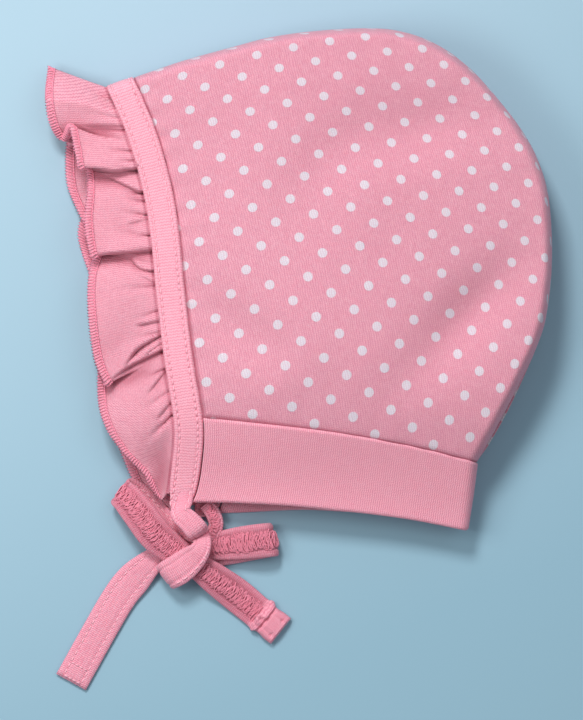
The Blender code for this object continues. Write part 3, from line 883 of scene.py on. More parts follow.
def uneven(n, u, v):
    """A lightness that differs from loop to loop, from 0 to 1."""
    cell = n.put("ShaderNodeCombineXYZ")
    n.feed(cell.inputs[0], n.math("FLOOR", u))
    n.feed(cell.inputs[1], n.math("FLOOR", v))
    node = n.put("ShaderNodeTexWhiteNoise", noise_dimensions="3D")
    n.feed(node.inputs["Vector"], cell.outputs[0])
    return node.outputs["Value"]


def rib_height(n, u, v):
    """Rib knit: round ridges with loops along them. u is in ridges and v in loops."""
    wave = n.math("ABSOLUTE", n.math("SINE", n.times(u, math.pi)))
    loop = n.math("SINE", n.times(v, 2 * math.pi))
    return n.times(n.math("POWER", wave, 0.6), n.plus(0.82, n.times(loop, 0.18)))


def jersey_print(name):
    """Dotted jersey. The cloth's coordinates are in dots along the rows and down the columns."""
    n = Nodes(name)
    u, v = n.uv()
    near = []
    for shift in (0.0, 0.5):
        across = n.times(n.minus(n.math("FRACT", n.plus(u, shift + 0.5)), 0.5), DOT_ROW)
        down = n.times(n.minus(n.math("FRACT", n.plus(v, shift + 0.5)), 0.5), DOT_COLUMN)
        near.append(n.math("SQRT", n.plus(n.times(across, across), n.times(down, down))))
    reach = n.plus(n.math("MINIMUM", *near), n.stray(DOT_RAGGED, 2600.0))
    dot = n.ramp(reach, DOT_RADIUS - DOT_BLUR, DOT_RADIUS + DOT_BLUR, 1.0, 0.0)
    across = n.plus(n.times(u, DOT_ROW / LOOP_WIDTH), n.stray(1.3, 420.0))
    down = n.plus(n.times(v, DOT_COLUMN / LOOP_HEIGHT), n.stray(1.2, 360.0, 3.0))
    height = knit_height(n, across, down)
    # Painted light and shade on the knit: the lit colour on the loops, the shaded colour between them.
    cloth = n.mix(n.ramp(height, 0.0, 1.0), linear(JERSEY_SHADED), linear(JERSEY_LIT))
    for tint in JERSEY_TINTS:
        cloth = n.tinted(cloth, tint)
    # The dots' white, with the same painted light and shade on the knit.
    white = n.mix(n.ramp(height, 0.1, 0.8), linear(DOT_SHADED), linear(DOT_LIT))
    colour = n.mix(n.times(dot, 0.96), cloth, white)
    # Painted shade from the shade attribute: along the crown's seams and on the lower panel's rim where it
    # shows.
    colour = n.mix(n.attribute("shade"), colour, SHADE_ROSE)
    fuzz = n.bump(n.noise(1500.0, 4.0), 0.00012, 0.5)
    normal = n.bump(height, 0.00030, 0.7, n.bump(dot, 0.00010, 0.7, fuzz))
    return n.finish(colour, normal)


def rib_cloth(name, needles=(), crossways=False):
    """Rib knit. The cloth's coordinates run across its ridges and along them, or swapped if crossways."""
    n = Nodes(name)
    rib = RIBS[name]
    ridge, loop = (rib.loop, rib.ridge) if crossways else (rib.ridge, rib.loop)
    u, v = n.uv()[::-1] if crossways else n.uv()
    down = n.plus(n.math("DIVIDE", v, loop), n.times(n.noise(500.0), 1.6))
    zigzag = n.times(n.math("PINGPONG", down, 1.0), 0.34)
    across = n.plus(n.math("DIVIDE", u, ridge), n.plus(n.stray(0.6, 420.0), zigzag))
    height = rib_height(n, across, down)
    # Painted light and shade on the ribs: the lit colour on the ridges, the shaded colour between them.
    cloth = n.mix(n.ramp(height, 0.15, 0.95), linear(rib.deep), linear(rib.light))
    cloth = n.mix(n.times(uneven(n, across, down), 0.18), cloth, linear(LOOP_LIGHT))
    # Painted shade from the shade attribute: in the ruffle's valleys, gathers and root, by its overlock
    # band, and on the ties between the lace's loops and at the fold.
    colour = n.mix(n.attribute("shade"), n.tinted(cloth, RIB_TINT), SHADE_ROSE)
    # Painted shade in the needle holes along each row of stitches.
    for row in needles:
        gap = n.math("ABSOLUTE", n.minus(v, row))
        beat = n.math("ABSOLUTE", n.minus(n.math("FRACT", n.math("DIVIDE", u, STITCH)), 0.5))
        needle_hole_shade = n.times(n.ramp(gap, 0.00015, 0.00042, 1.0, 0.0), n.ramp(beat, 0.30, 0.48))
        colour = n.mix(n.times(needle_hole_shade, 0.55), colour, SHADE_ROSE)
    fuzz = n.bump(n.noise(1500.0, 4.0), 0.00012, 0.5)
    return n.finish(colour, n.bump(height, rib.depth, 0.7, fuzz))


def thread_cloth(name):
    n = Nodes(name)
    normal = n.bump(n.noise(6000.0, 2.0), 0.00006, 0.6)
    return n.finish(linear(THREADS[name]), normal, roughness=0.6, sheen=0.15, scatter=0.1)


# The crown.


def bag_relief(points):
    """The upper side's small unevenness: soft swells, and puckers along the seams."""
    inside = rounding(points, SHOULDER, SHOULDER_POWER)
    soft = 0.00080 * waves(points, 0.050, 4) + 0.00022 * waves(points, 0.019, 9)
    total = soft * inside**2
    for line, pitch, depth, reach, seed in (
        (FACE_SEAM, 0.0085, 0.00030, 0.0060, 21),
        (NECK_SEAM, 0.0120, 0.00018, 0.0050, 33),
        (FOLD_SEAM, 0.0140, 0.00022, 0.0070, 45),
    ):
        gap, along, _ = nearest(points, line)
        stray = 0.6 * np.sin(along / pitch * 1.7 + seed)
        total += depth * np.sin(2 * math.pi * along / pitch + stray) * np.exp(-gap / reach)
    return total


def panel_plan():
    """The crown's plan, ruled from its openings to the fold line, with the shares of both ways."""
    down, back = crowded(FACE_LINES), 1 - crowded(NECK_LINES)[::-1][1:]
    face = at_shares(FACE_SEAM, down * NECK_CORNER) + GAP / 2 * np.array([1.0, 0.0])
    neck = at_shares(NECK_SEAM, back) + GAP / 2 * np.array([0.0, 1.0])
    opening = np.vstack([face, neck])
    shares = np.concatenate([down * BACK_CORNER, BACK_CORNER + back * (1 - BACK_CORNER)])
    fold = at_shares(FOLD_SEAM, shares)
    opening[0], opening[-1] = fold[0], fold[-1]
    out = (1 - (1 - np.linspace(0, 1, PANEL_ROWS)) ** 1.5)[None, :, None]
    return opening[:, None] * (1 - out) + fold[:, None] * out, out, shares


def panel_print(flat, grid, outward):
    """The print's coordinates, with the extra length of cloth over the rounded edge."""
    steps = np.linalg.norm(np.diff(grid, axis=1), axis=-1)
    flat_steps = np.linalg.norm(np.diff(flat, axis=1), axis=-1)
    extra = summed(steps - flat_steps)
    extra = np.maximum(extra - extra[:, PANEL_ROWS // 2, None], 0) * np.linspace(0, 1, PANEL_ROWS) ** 2
    return print_at(flat + extra[..., None] * outward[:, None])


def panel_normals(grid, side):
    """Normals of a panel, level along its rim."""
    normal = grid_normals(grid, len(grid), side)
    normal[:, -1, 2] = 0
    normal[0] = normal[1].mean(0)
    normal[-1] = normal[-2].mean(0)
    normal[0, :, 2] = 0
    normal[-1, :, 2] = 0
    return unit(normal)


def panel(name, side, material):
    """One side of the crown, as its solid is ruled, with its print carried over the rounded edge."""
    flat, out, shares = panel_plan()
    outward = unit(flat[:, -1] - flat[:, 0] + 1e-9)
    peeking = (shares - PEEK_AT) / PEEK_REACH
    grid = on_side(flat, side)
    if side > 0:
        grid[..., 2] += bag_relief(flat)
    else:
        peek = PEEK * bell(peeking) * np.clip((1 - shares) / 0.02, 0, 1)
        grid[..., :2] += (outward * peek[:, None])[:, None] * out**6
    uv = panel_print(flat, grid, outward)
    normal = panel_normals(grid, side)
    for rim in (np.s_[:, -1, 2], np.s_[0, :, 2], np.s_[-1, :, 2]):
        grid[rim] = SEAM_LIFT + side * GAP / 2
    # Painted shade: a line along the face and neck seams, and, on the lower panel, its rim where it shows
    # outside the upper one.
    gap = np.minimum(nearest(flat, FACE_SEAM)[0], nearest(flat, NECK_SEAM)[0])
    shade = SEAM_SHADE * np.exp(-((gap / SEAM_LINE) ** 2))
    under = shade.copy()
    if side > 0:
        grid[..., 2] -= SEAM_DIP * np.exp(-((gap / DIP_REACH) ** 2))
    else:
        uv = uv * np.array([-1.0, 1.0]) + 0.3
        under[:, -1] = np.maximum(under[:, -1], UNDER_SHADE * bell(peeking / 1.6))
    tuck = np.tile([-TUCK, 0, -side * TUCK_DROP], (len(grid), 1))
    tuck[FACE_LINES:, :2] = [0, -TUCK]
    order = np.arange(len(grid))
    tuck *= np.clip(np.minimum(order, order[::-1]) / TUCK_LINES, 0, 1)[:, None]
    grid = np.concatenate([(grid[:, 0] + tuck)[:, None], grid], axis=1)
    normal, uv, shade, under = (np.concatenate([a[:, :1], a], axis=1) for a in (normal, uv, shade, under))
    return shell(name, grid, grid - normal * CROWN_WALL, uv, (shade, under), material)


# The bands.


def strip_grids(edge_at, rows, columns, wall, relief, seam_round):
    """The two faces of a trim that goes round the bag, its cloth coordinates and its normals."""
    towards = 1 - crowded(columns)[::-1]
    t = np.linspace(0, 1, rows)
    across = 0.35 * t + 0.65 * (0.5 - 0.5 * np.cos(math.pi * t))
    flat = edge_at(towards, across)
    upper = on_side(flat, 1)
    lower = on_side(flat, -1)[::-1][1:]
    grid = np.vstack([upper, lower])
    grid[columns - 1, :, 2] = SEAM_LIFT
    n = grid_normals(grid, columns // 2)
    along = lengths(grid[:, rows // 2])[:, None]
    width = summed(np.linalg.norm(np.diff(grid, axis=1), axis=-1))
    uv = np.stack([np.broadcast_to(along, width.shape), width], -1)
    near = np.clip(width / seam_round, 0, 1)
    far = np.clip((width[:, -1:] - width) / FREE_ROUND, 0, 1)
    edge = np.sqrt(1 - (1 - near) ** 2) * np.sqrt(1 - (1 - far) ** 2)
    proud = np.concatenate([np.ones(columns), np.zeros(columns - 1)])[:, None] * TRIM_PROUD
    middle = proud - wall / 2
    outer = grid + n * (middle + (wall / 2 + relief(along, width, width[:, -1:])) * edge)[..., None]
    inner = grid + n * (middle - wall / 2 * edge)[..., None]
    outer[..., 2] = np.maximum(outer[..., 2], CLOTH_CLEAR)
    inner[..., 2] = np.maximum(inner[..., 2], 0)
    return outer, inner, uv, n


def binding_edge(towards, across):
    """The binding in the plan. It narrows to the tie that it becomes."""
    along = 1 - towards
    seam = at_shares(FACE_SEAM, along)
    even = np.linspace(0, 1, 200)
    ahead = binding_directions(even)
    picked = np.stack([np.interp(along, even, ahead[:, k]) for k in range(2)], axis=1)
    narrow = np.clip((along - 0.93) / 0.07, 0, 1)
    reach = GAP / 2 + across[None, :] * (BINDING_WIDTH * (1 - 0.26 * narrow[:, None] ** 2) - GAP)
    return seam[:, None, :] + unit(picked)[:, None, :] * reach[..., None]


def neckband_edge(towards, across):
    """The neckband in the plan, from its seam with the crown to its folded edge."""
    seam = at_shares(NECK_SEAM, towards)
    down = band_directions(towards)
    height = band_heights(towards)
    reach = GAP / 2 + across[None, :] * (height[:, None] - GAP / 2)
    flat = seam[:, None, :] + down[:, None, :] * reach[..., None]
    front = at_shares(FACE_SEAM, NECK_CORNER + across * (1 - NECK_CORNER))
    front += GAP * np.stack([np.ones(len(across)), across - 1], axis=1)
    return flat + (front - flat[0])[None] * (1 - towards[:, None, None]) ** 4


def binding_relief(along, width, total):
    """The two stitch rows pull the binding in, and it bulges beside and between them."""
    relief = 0.00016 * np.sin(math.pi * width / total) + 0.00012 * np.sin(along / 0.0061)
    for row in NEEDLES:
        pull = 0.8 + 0.2 * np.cos(2 * math.pi * along / STITCH)
        relief = relief - 0.00042 * bell((width - row) / 0.00042) * pull
    edge = bell((width - NEEDLES[0] + 0.0012) / 0.0006) + 1.6 * bell((width - NEEDLES[1] - 0.0013) / 0.0007)
    return relief + 0.00016 * edge - 0.0009 * bell(along / 0.0035)


def band_relief(along, width, total):
    """Slight swells of the neckband."""
    return 0.00016 * np.sin(along / 0.013 + 90 * width) * np.sin(math.pi * width / total)


# The ruffle.


def face_edge_at(along):
    """Points of the binding's free edge in the plan."""
    return np.stack([np.interp(along, EVEN, FACE_EDGE[:, k]) for k in range(2)], axis=-1)


# Sharp folds and gathers that the photograph shows on the upper side, from the ruffle's edge to the
# binding. The two or three places are shares of the cap's depth and the crown's height, as in the
# solids' tables.
Crease = namedtuple("Crease", "places depth reach")
CREASES = (
    Crease(((-0.139, 0.780), (-0.060, 0.779), (-0.010, 0.775)), 0.0010, 0.0041),
    Crease(((-0.100, 0.853), (-0.058, 0.841)), 0.0012, 0.0022),
    Crease(((-0.132, 0.682), (-0.050, 0.673), (0.012, 0.679)), 0.0032, 0.0046),
    Crease(((-0.086, 0.672), (-0.020, 0.641), (0.028, 0.620)), 0.0019, 0.0027),
    Crease(((-0.026, 0.547), (0.040, 0.565)), 0.0010, 0.0027),
    Crease(((-0.010, 0.517), (0.042, 0.525)), 0.0007, 0.0022),
    Crease(((-0.094, 0.481), (-0.017, 0.486), (0.046, 0.488)), 0.0032, 0.0046),
    Crease(((-0.016, 0.481), (0.016, 0.449), (0.050, 0.442)), 0.0019, 0.0022),
    Crease(((0.008, 0.436), (0.052, 0.414)), 0.0009, 0.0019),
    Crease(((-0.003, 0.315), (0.054, 0.326)), 0.0016, 0.0027),
    Crease(((-0.031, 0.208), (0.005, 0.259), (0.064, 0.295)), 0.0026, 0.0035),
    Crease(((0.010, 0.238), (0.066, 0.276)), 0.0012, 0.0016),
    Crease(((-0.067, 0.183), (-0.012, 0.222), (0.070, 0.262)), 0.0026, 0.0049),
    Crease(((0.026, 0.150), (0.074, 0.212)), 0.0014, 0.0041),
    Crease(((0.050, 0.095), (0.084, 0.136)), 0.0012, 0.0041),
)


# The lean of the ruffle's ribs in degrees, at places up the plan in metres.
RIB_TURNS = ((-0.075, -0.045, -0.030, 0.0, 0.05), (34, 30, 14, 6, -4))


def tucks(side):
    """Small gathers along the binding: their places, depths, lengths and leans."""
    rng = np.random.default_rng(5 if side > 0 else 6)
    places = []
    q = 0.02
    while q < 0.80:
        places.append((q, rng.uniform(0.2, 1.0), rng.uniform(0.18, 0.42), rng.uniform(-0.03, 0.03)))
        q += rng.uniform(0.022, 0.060)
    return places


def creased(places, height):
    """The height of the upper side with its sharp folds."""
    total = np.zeros(height.shape)
    for crease in CREASES:
        line = spline([plan(Share(*place)) for place in crease.places], 6)
        gap, along, across = nearest(places, line)
        grow = np.clip(along / (0.45 * lengths(line)[-1]), 0, 1)
        grow = grow * grow * (3 - 2 * grow)
        below = np.clip(0.5 - across / 0.0009, 0, 1)
        total += crease.depth * grow * np.exp(-gap / crease.reach) * (0.45 - 1.45 * below)
    return height + total


def ruffle_grid(stations, side):
    """One side of the ruffle, ruled as its solid is, with its gathers, folds and waved edge."""
    fine = RUFFLE_STEPS[0] if side > 0 else RUFFLE_STEPS[1]
    edge = spline([tuple(e) for e in stations], fine)
    window = np.ones(2 * fine + 1)
    even = np.convolve(np.pad(edge[:, 0], fine, mode="edge"), window / window.sum(), "valid")
    root = np.maximum.accumulate(even) + np.linspace(0, ROOT_SPREAD, len(even))
    root = (root - root[0]) / (root[-1] - root[0]) * stations[-1].along
    out = np.linspace(0, 1, RUFFLE_ACROSS)[None, :]
    swing = out**SWING_POWER
    along = root[:, None] * (1 - swing) + edge[:, :1] * swing
    angle = np.radians(column(RUFFLE_FAN, "angle", along))
    ahead = np.stack([-np.cos(angle), np.sin(angle)], axis=-1)
    clear = binding_directions(root) * ROOT_GAP
    reach = out * (RUFFLE_WIDTH * edge[:, 2:] - ROOT_GAP)
    places = face_edge_at(along) + clear[:, None, :] + ahead * reach[..., None]
    start = on_side(face_edge_at(root), side)
    places += (start[:, :2] - face_edge_at(root))[:, None, :]
    base = start[:, 2] - side * BINDING_WALL / 2
    settle = np.clip(root / SETTLE, 0, 1)
    base = base * settle + SEAM_LIFT * (1 - settle)
    lift = RUFFLE_LIFT * (1.0 if side > 0 else LOWER_LIFT)
    tip = base * DROOP + edge[:, 1] * lift * settle
    height = base[:, None] * (1 - out) + tip[:, None] * out
    gather = np.zeros(height.shape)
    for q, depth, length, lean in tucks(side):
        across = (root[:, None] - q - lean * out) / (0.0042 + 0.014 * out)
        gather += depth * bell(across) * np.exp(-((out / length) ** 2))
    strip = lengths(np.column_stack([edge[:, 0] * CROWN_HEIGHT, edge[:, 1] * lift]))[:, None]
    frill = FRILL * np.sin(strip / FRILL_RUN) * out**4
    billow = BILLOW * np.sin(math.pi * out) * np.sin(strip / BILLOW_RUN + 1.3)
    height = height + frill + (billow - GATHER * gather) * settle[:, None]
    if side > 0:
        height = creased(places, height)
    height = np.maximum(height, RUFFLE_WALL / 2)
    grid = np.concatenate([places, height[..., None]], axis=-1)
    under = grid[:, 0] - np.column_stack([binding_directions(root) * TUCK, np.zeros(len(root))])
    return np.concatenate([under[:, None], grid], axis=1), np.concatenate([gather[:, :1], gather], axis=1)


def smoothed(values, reach):
    """The values with each column averaged over that many rows on either side."""
    padded = np.pad(values, ((reach, reach), (0, 0)), mode="edge")
    total = np.vstack([np.zeros((1, values.shape[1])), np.cumsum(padded, axis=0)])
    return (total[2 * reach + 1 :] - total[: -2 * reach - 1]) / (2 * reach + 1)


def ruffle(material):
    """The whole ruffle, up one side and down the other."""
    upper, upper_gather = ruffle_grid(UPPER_EDGE, 1)
    lower, lower_gather = ruffle_grid(LOWER_EDGE, -1)
    grid = np.vstack([upper[::-1], lower[1:]])
    gather = np.vstack([upper_gather[::-1], lower_gather[1:]])
    # Painted shade: in the ruffle's valleys and gathers, at its root under the binding, and in a line just
    # inside the overlock band.
    around = smoothed(smoothed(grid[..., 2], 18), 18)
    valley = smoothed(np.clip((around - grid[..., 2]) / 0.0009, 0, 1), 2)
    n = grid_normals(grid, len(upper))
    out = np.concatenate([[-TUCK / RUFFLE_WIDTH], np.linspace(0, 1, RUFFLE_ACROSS)])[None, :]
    lean = np.radians(np.interp(grid[..., 1], *RIB_TURNS))
    ribs = grid[..., 1] * np.cos(lean) + grid[..., 0] * np.sin(lean) + 0.4 * grid[..., 2]
    uv = np.stack(np.broadcast_arrays(ribs, out * RUFFLE_WIDTH), -1)
    hem = 1 / (1 + np.exp(-(out - 1 + OVERLOCK_WIDTH / RUFFLE_WIDTH) / 0.010))
    half = RUFFLE_WALL / 2 * (0.8 + 0.55 * hem)
    half = half * np.sqrt(1 - np.clip((out - 0.965) / 0.035, 0, 1) ** 2 * 0.9)
    shade = np.clip(0.22 * gather * bell(out / 0.4) + 0.42 * valley, 0, 0.55) + 0.45 * bell(out / 0.018)
    shade = shade + 0.30 * bell((out - 1 + (OVERLOCK_WIDTH + 0.0003) / RUFFLE_WIDTH) / 0.012)
    outer, inner = two_faces(grid, n, half)
    outer[..., 2] = np.maximum(outer[..., 2], CLOTH_CLEAR)
    inner[..., 2] = np.maximum(inner[..., 2], 0)
    return shell("ruffle_cloth", outer, inner, uv, (shade, shade), material), outer, inner


# The ties.


def tie_grids(strands):
    """The two faces of a tie with rounded edges and ends, its cloth coordinates, and its run in metres."""
    middle = CORNER + np.array(KNOT_FROM_END) * TIE_WIDTH
    rows = spline([tuple(s) for s in strands], TIE_FINE_STEPS)
    place = np.column_stack([middle + rows[:, :2] * TIE_WIDTH, rows[:, 2] * STRAND_PITCH + TIE_WALL / 2])
    turn = np.radians(rows[:, 4])
    aside = np.stack([np.cos(turn), np.sin(turn), np.zeros(len(turn))], axis=1)
    along = unit(np.gradient(place, axis=0))
    aside = unit(aside - along * (aside * along).sum(1, keepdims=True))
    share = np.sin(np.linspace(-0.5, 0.5, TIE_ACROSS) * math.pi * CROWDING)
    share = share / math.sin(math.pi * CROWDING / 2)
    across = share / 2
    grid = place[:, None] + aside[:, None] * (across[None, :, None] * TIE_WIDTH * rows[:, None, 3:4])
    normal = np.broadcast_to(np.cross(along, aside)[:, None], grid.shape)
    run = lengths(place)
    left = np.clip((run[-1] - run) / 0.0008, 0, 1)
    close = np.sqrt(1 - (1 - left) ** 2)[:, None]
    edge = np.sqrt(1 - np.abs(share) ** 4)[None, :]
    channel = sum(bell((across - s * NEEDLE_SPREAD / TIE_WIDTH / 2) / 0.045) for s in (-1, 1))[None, :]
    swell = 1 + 0.10 * np.sin(run / 0.0031)[:, None] * np.cos(math.pi * across)[None, :]
    half = (TIE_WALL * 0.55 * edge * swell - 0.00040 * channel * edge) * close + 0.00005
    uv = np.stack(np.broadcast_arrays(across[None, :] * TIE_WIDTH, run[:, None]), -1)
    return grid, normal, half, uv, run


def stretch_of(run, first, last):
    """The run of a tie from one of its strands to another."""
    steps = TIE_FINE_STEPS
    return run[int(first * steps)], run[min(int(last * steps), len(run) - 1)]


def on_face(face, away, run, along, across, proud):
    """Points over a face of a tie, at a run in metres and a place across from -0.5 to 0.5."""
    i = np.interp(along, run, np.arange(len(run)))
    turn = np.arcsin(np.clip(across * 2 * math.sin(math.pi * CROWDING / 2), -1, 1))
    j = (turn / (math.pi * CROWDING) + 0.5) * (face.shape[1] - 1)
    return read_grid(face, i, j) + read_grid(away, i, j) * np.asarray(proud)[..., None]


def stitch_row(face, away, run, first, last, across):
    """Short straight stitches along a tie."""
    low, high = stretch_of(run, first, last)
    starts = np.arange(low + 0.0004, high - STITCH, STITCH)
    along = starts[:, None] + STITCH * STITCH_SHARE[None]
    proud = np.broadcast_to(STITCH_RISE, along.shape)
    return on_face(face, away, run, along, np.full(along.shape, across), proud)


def cross_stitches(face, away, run, place):
    """A short row of stitches across a tie."""
    starts = np.linspace(-0.27, 0.27 - 0.13, 4)
    across = starts[:, None] + np.linspace(0, 0.11, 6)[None]
    proud = np.broadcast_to(STITCH_RISE, across.shape)
    return on_face(face, away, run, np.full(across.shape, place), across, proud)


def lace(face, away, run, first, last):
    """The looping threads on the wrong side of a stitched strip. They lie close and uneven."""
    low, high = stretch_of(run, first, last)
    rng = np.random.default_rng(int(first * 10) + 3)
    count = int((high - low) / LACE_PITCH)
    knots = np.arange(count + 3)
    steps = np.linspace(0, 1, 16)[None]
    paths = []
    for strand in range(4):
        t = np.arange(count)[:, None] + steps + 0.25 * strand
        wide = np.interp(t, knots, rng.uniform(0.15, 0.33, len(knots)))
        stray = np.interp(t, knots, rng.uniform(-0.35, 0.35, len(knots)))
        middle = np.interp(t, knots, rng.uniform(-0.05, 0.05, len(knots)))
        along = low + LACE_PITCH * (t + stray + 0.30 * np.sin(4 * math.pi * t + strand))
        across = middle + wide * np.sin(2 * math.pi * t)
        proud = THREAD * (0.8 + 0.6 * strand + 1.0 * np.cos(4 * math.pi * t + 2 * strand))
        paths.append(on_face(face, away, run, np.clip(along, low, high), across, proud))
    return np.vstack(paths)


def lace_shade(uv, run, first, last):
    """Painted shade on the cloth between the looping threads."""
    low, high = stretch_of(run, first, last)
    inside = np.clip((run - low) / 0.001, 0, 1) * np.clip((high - run) / 0.001, 0, 1)
    return 0.74 * inside[:, None] * bell(uv[..., 0] / TIE_WIDTH / 0.34) ** 0.6


def straight_threads(name, parts, material):
    """Short stitches as one mesh."""
    return tubes(name, np.vstack(parts), STITCH_ROUND[None], 6, material)


def left_tie(cloth, thread, looper):
    """The tie that makes the bow's bridge, right loop and left tail, with its stitches."""
    grid, n, half, uv, run = tie_grids(LEFT_TIE)
    outer, inner = two_faces(grid, n, half)
    lift_off(outer, inner)
    # Painted shade: between the lace's loops, and in a line across the tie where its bridge folds under.
    dark = lace_shade(uv, run, 17, 27)
    fold = 0.75 * bell((run - stretch_of(run, 6.55, 7)[0]) / 0.0009)[:, None]
    obj = shell("left_tie_cloth", outer, inner, uv, (dark + fold, 0 * dark), cloth)
    rows = [stitch_row(outer, n, run, *row) for row in LEFT_ROWS]
    rows += [cross_stitches(outer, n, run, run[-1] - back) for back in LEFT_CROSSINGS]
    rows += [stitch_row(inner, -n, run, *row) for row in LEFT_ROWS[-2:]]
    stitches = straight_threads("left_tie_stitches", rows, thread)
    loops = lace(outer, n, run, 17, 27)
    web = tubes("left_tie_lace", loops, THREAD * 1.05, 5, looper)
    return obj, stitches, web


def turned_end(back, across):
    """What the right tie's turned end adds to its under side. back is the run in metres from the tip."""
    ragged = 0.0006 * np.sin(9 * across + 0.4) + 0.0004 * np.sin(23 * across)
    lump = bell((back - END_LUMP - ragged) / 0.0009) * (0.8 + 0.4 * np.sin(8 * across + 0.6))
    dip = bell((back - END_DIP) / 0.0006)
    doubled = 0.5 - 0.5 * np.tanh((back - END_FOLD) / 0.0004)
    doubled = doubled * np.sqrt(np.clip(1 - (2 * across) ** 6, 0, 1))
    extra = (0.0013 - 0.0010 * dip) * doubled + 0.0019 * lump * np.cos(math.pi * across * 0.85)
    for place in (-0.28, 0.27):
        extra = extra - 0.0007 * bell((back - END_PITS) / 0.0005) * bell((across - place) / 0.055)
    return extra * np.clip(back / 0.0006, 0, 1) ** 0.5


def right_tie(cloth, thread, looper):
    """The tie that makes the bow's left loop and right tail. Its end is turned over and sewn down."""
    grid, n, half, uv, run = tie_grids(RIGHT_TIE)
    extra = turned_end((run[-1] - run)[:, None], uv[:1, :, 0] / TIE_WIDTH)
    outer, inner = grid + n * half[..., None], grid - n * (half + extra)[..., None]
    lift_off(outer, inner)
    # Painted shade between the lace's loops, on the under face.
    dark = lace_shade(uv, run, 3, 20.1)
    obj = shell("right_tie_cloth", outer, inner, uv, (0 * dark, dark), cloth)
    loops = np.vstack([lace(inner, -n, run, 3, 20.1), lace(outer, n, run, 0.3, 4.6)])
    web = tubes("right_tie_lace", loops, THREAD * 1.05, 5, looper)
    rows = [stitch_row(outer, n, run, 3, 21, -0.29), stitch_row(outer, n, run, 3, 21, 0.29)]
    stitches = straight_threads("right_tie_stitches", rows, thread)
    return obj, stitches, web


def lift_off(*faces):
    """Keeps a tie's faces off the floor."""
    for face in faces:
        face[..., 2] = np.maximum(face[..., 2], TIE_CLEAR)


# The threads of the binding and of the ruffle's edge.


def binding_stitches(outer, uv, n, material):
    """Two rows of short straight stitches along the binding."""
    count = len(outer)
    paths = []
    for row in NEEDLES:
        j = np.array([np.interp(row, uv[k, :, 1], np.arange(uv.shape[1])) for k in range(count)])
        line = read_grid(outer, np.arange(count), j)
        run = lengths(line)
        starts = np.arange(0.0008, run[-1] - STITCH, STITCH)
        places = starts[:, None] + STITCH * STITCH_SHARE[None]
        i = np.interp(places, run, np.arange(count))
        jj = np.interp(i, np.arange(count), j)
        paths.append(read_grid(outer, i, jj) + read_grid(n, i, jj) * (STITCH_RISE + 0.00012)[None, :, None])
    return straight_threads("binding_stitches", paths, material)


def overlock_threads(outer, inner, material):
    """Close loops of thread over the ruffle's free edge, and the chain of needle stitches inside them."""
    last = outer.shape[1] - 1
    reach = OVERLOCK_WIDTH / RUFFLE_WIDTH
    edge_run = lengths(outer[:, -1])
    inside = (1 - reach) * (last - 1) + 1
    starts = np.arange(0.001, edge_run[-1] - 0.001, OVERLOCK_PITCH)
    index = np.arange(len(outer))
    i = np.interp(starts, edge_run, index)
    lean = np.interp(starts + OVERLOCK_PITCH * 0.6, edge_run, index)
    over = i[:, None] + (lean - i)[:, None] * np.linspace(1, 0, 5)[None]
    across = np.broadcast_to(np.linspace(inside, last - 0.1, 5)[None], over.shape)
    away = unit(read_grid(outer, over, across) - read_grid(inner, over, across))
    proud = THREAD * np.array([-0.6, 1.0, 1.3, 1.3, 0.9])[None, :, None]
    top = read_grid(outer, over, across) + away * proud
    back = read_grid(inner, over[:, ::-1], across[:, ::-1])
    away = away[:, ::-1]
    under = back - away * proud[:, ::-1]
    tip = (top[:, -1] + under[:, 0]) / 2
    outward = unit(tip - read_grid(outer, i, np.full(i.shape, last - 4.0)))
    paths = np.concatenate([top, (tip + outward * THREAD * 2.0)[:, None], under], axis=1)
    paths[..., 2] = np.maximum(paths[..., 2], THREAD * 1.5)
    loops = tubes("overlock_threads", paths, THREAD * 1.45, 5, material)
    chain = []
    for face, other in ((outer, inner), (inner, outer)):
        rows = np.interp(starts[:, None] + np.linspace(0, OVERLOCK_PITCH * 0.9, 6)[None], edge_run, index)
        j = np.full(rows.shape, inside - 0.35)
        spot = read_grid(face, rows, j)
        away = unit(spot - read_grid(other, rows, j))
        chain.append(spot + away * (STITCH_RISE * 1.1)[None, :, None])
    needle = straight_threads("needle_stitches", chain, material)
    return loops, needle


def dress():
    """Makes every piece, attaches it to the root, and hides the solid that it stands for."""
    jersey = jersey_print("dotted_jersey")
    thread = thread_cloth("thread")
    looper = thread_cloth("looper_thread")

    upper = panel("crown_left_cloth", 1, jersey)
    lower = panel("crown_right_cloth", -1, jersey)
    outer, inner, uv, _ = strip_grids(
        neckband_edge, BAND_ACROSS, BAND_LINES, BAND_WALL, band_relief, BAND_ROUND
    )
    plain = np.zeros(outer.shape[:2])
    band = shell("neckband_cloth", outer, inner, uv, (plain, plain), rib_cloth("neckband_rib"))
    outer, inner, uv, n = strip_grids(
        binding_edge, BINDING_ACROSS, BINDING_LINES, BINDING_WALL, binding_relief, BINDING_ROUND
    )
    plain = np.zeros(outer.shape[:2])
    ribbed = rib_cloth("binding_rib", needles=NEEDLES)
    binding = shell("binding_cloth", outer, inner, uv, (plain, plain), ribbed)
    stitches = binding_stitches(outer, uv, n, thread)
    frill, frill_outer, frill_inner = ruffle(rib_cloth("ruffle_jersey"))
    loops, needle = overlock_threads(frill_outer, frill_inner, thread_cloth("edging_thread"))
    left, left_rows, left_web = left_tie(rib_cloth("left_tie_rib", crossways=True), thread, looper)
    right, right_rows, right_web = right_tie(rib_cloth("right_tie_rib", crossways=True), thread, looper)
    cloths = [upper, lower, band, binding, frill, left, right]
    for obj in (*cloths, stitches, loops, needle, left_rows, left_web, right_rows, right_web):
        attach(obj, "root")
    for obj, node, slot in (
        (upper, "crown_left_panel", "dotted_jersey_left"),
        (lower, "crown_right_panel", "dotted_jersey_right"),
        (band, "neckband", "neckband_rib"),
        (binding, "face_binding", "binding_rib"),
        (frill, "ruffle", "ruffle_jersey"),
        (left, "left_tie", "left_tie_rib"),
        (right, "right_tie", "right_tie_rib"),
    ):
        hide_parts(node)


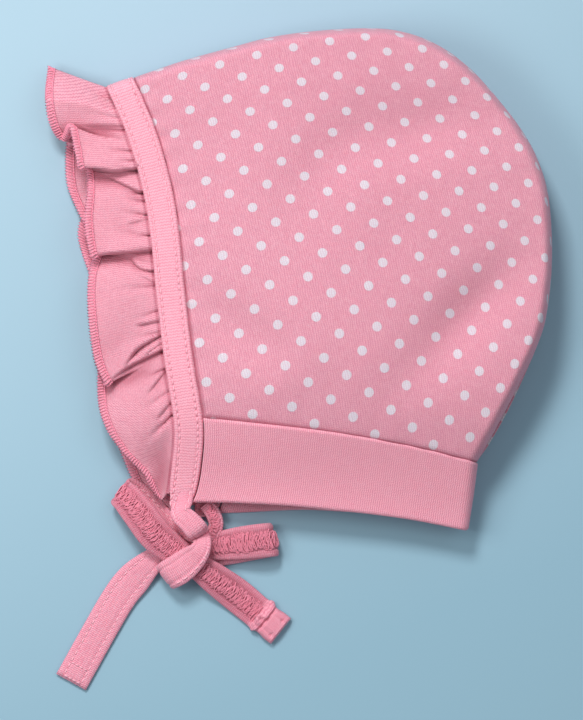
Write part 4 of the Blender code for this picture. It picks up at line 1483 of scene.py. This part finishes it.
def lay_floor():
    """A plain pale floor, painted a little lighter towards the key light."""
    mesh = bpy.data.meshes.new("floor")
    corners = [(x * FLOOR_REACH, y * FLOOR_REACH, 0) for x, y in ((-1, -1), (1, -1), (1, 1), (-1, 1))]
    mesh.from_pydata(corners, [], [(0, 1, 2, 3)])
    floor = add("floor", mesh)
    floor.location.z = -FLOOR_DROP
    n = Nodes("floor")
    parts = n.put("ShaderNodeSeparateXYZ")
    n.feed(parts.inputs[0], n.put("ShaderNodeTexCoord").outputs["Object"])
    # Painted light: the floor's colour goes from shaded to lit towards the key light.
    slope = n.minus(parts.outputs[1], n.times(parts.outputs[0], 0.45))
    painted_falloff = n.ramp(slope, -0.13, 0.13)
    n.feed(n.shader.inputs["Base Color"], n.mix(painted_falloff, linear(FLOOR_SHADED), linear(FLOOR_LIT)))
    n.shader.inputs["Roughness"].default_value = 0.7
    n.shader.inputs["Specular IOR Level"].default_value = 0.2
    mesh.materials.append(n.material)


def set_lights():
    world = bpy.data.worlds.new("world")
    bpy.context.scene.world = world
    world.use_nodes = True
    sky = world.node_tree.nodes["Background"].inputs
    sky[0].default_value = SKY_COLOUR
    sky[1].default_value = SKY_STRENGTH
    for light in LIGHTS:
        lamp = bpy.data.lights.new(light.name, "AREA")
        lamp.size = light.size
        lamp.energy = light.power
        lamp.color = light.colour
        obj = add(light.name, lamp)
        obj.location = light.place
        aim = np.array(LIT_PLACE) - np.array(light.place)
        obj.rotation_euler = Vector(aim).to_track_quat("-Z", "Y").to_euler()


def set_camera():
    """The camera, straight above the middle of the photograph's frame."""
    camera = bpy.data.cameras.new("camera")
    camera.sensor_width = SENSOR
    camera.lens = SENSOR / (FRAME_HEIGHT / SCALE_DISTANCE)
    camera.clip_start = 0.01
    view = add("camera", camera)
    view.location = (*FRAME_MIDDLE, CAMERA_HEIGHT)
    view.rotation_euler = (0, 0, 0)
    bpy.context.scene.camera = view
    bpy.context.scene.view_settings.view_transform = "Standard"


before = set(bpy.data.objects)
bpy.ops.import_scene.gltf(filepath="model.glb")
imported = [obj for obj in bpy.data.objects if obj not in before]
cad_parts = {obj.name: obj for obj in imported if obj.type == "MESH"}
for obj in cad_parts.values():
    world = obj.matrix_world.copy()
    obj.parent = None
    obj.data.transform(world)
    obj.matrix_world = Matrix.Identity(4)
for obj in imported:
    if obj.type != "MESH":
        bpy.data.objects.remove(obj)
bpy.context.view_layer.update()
dress()
lay_floor()
set_lights()
set_camera()
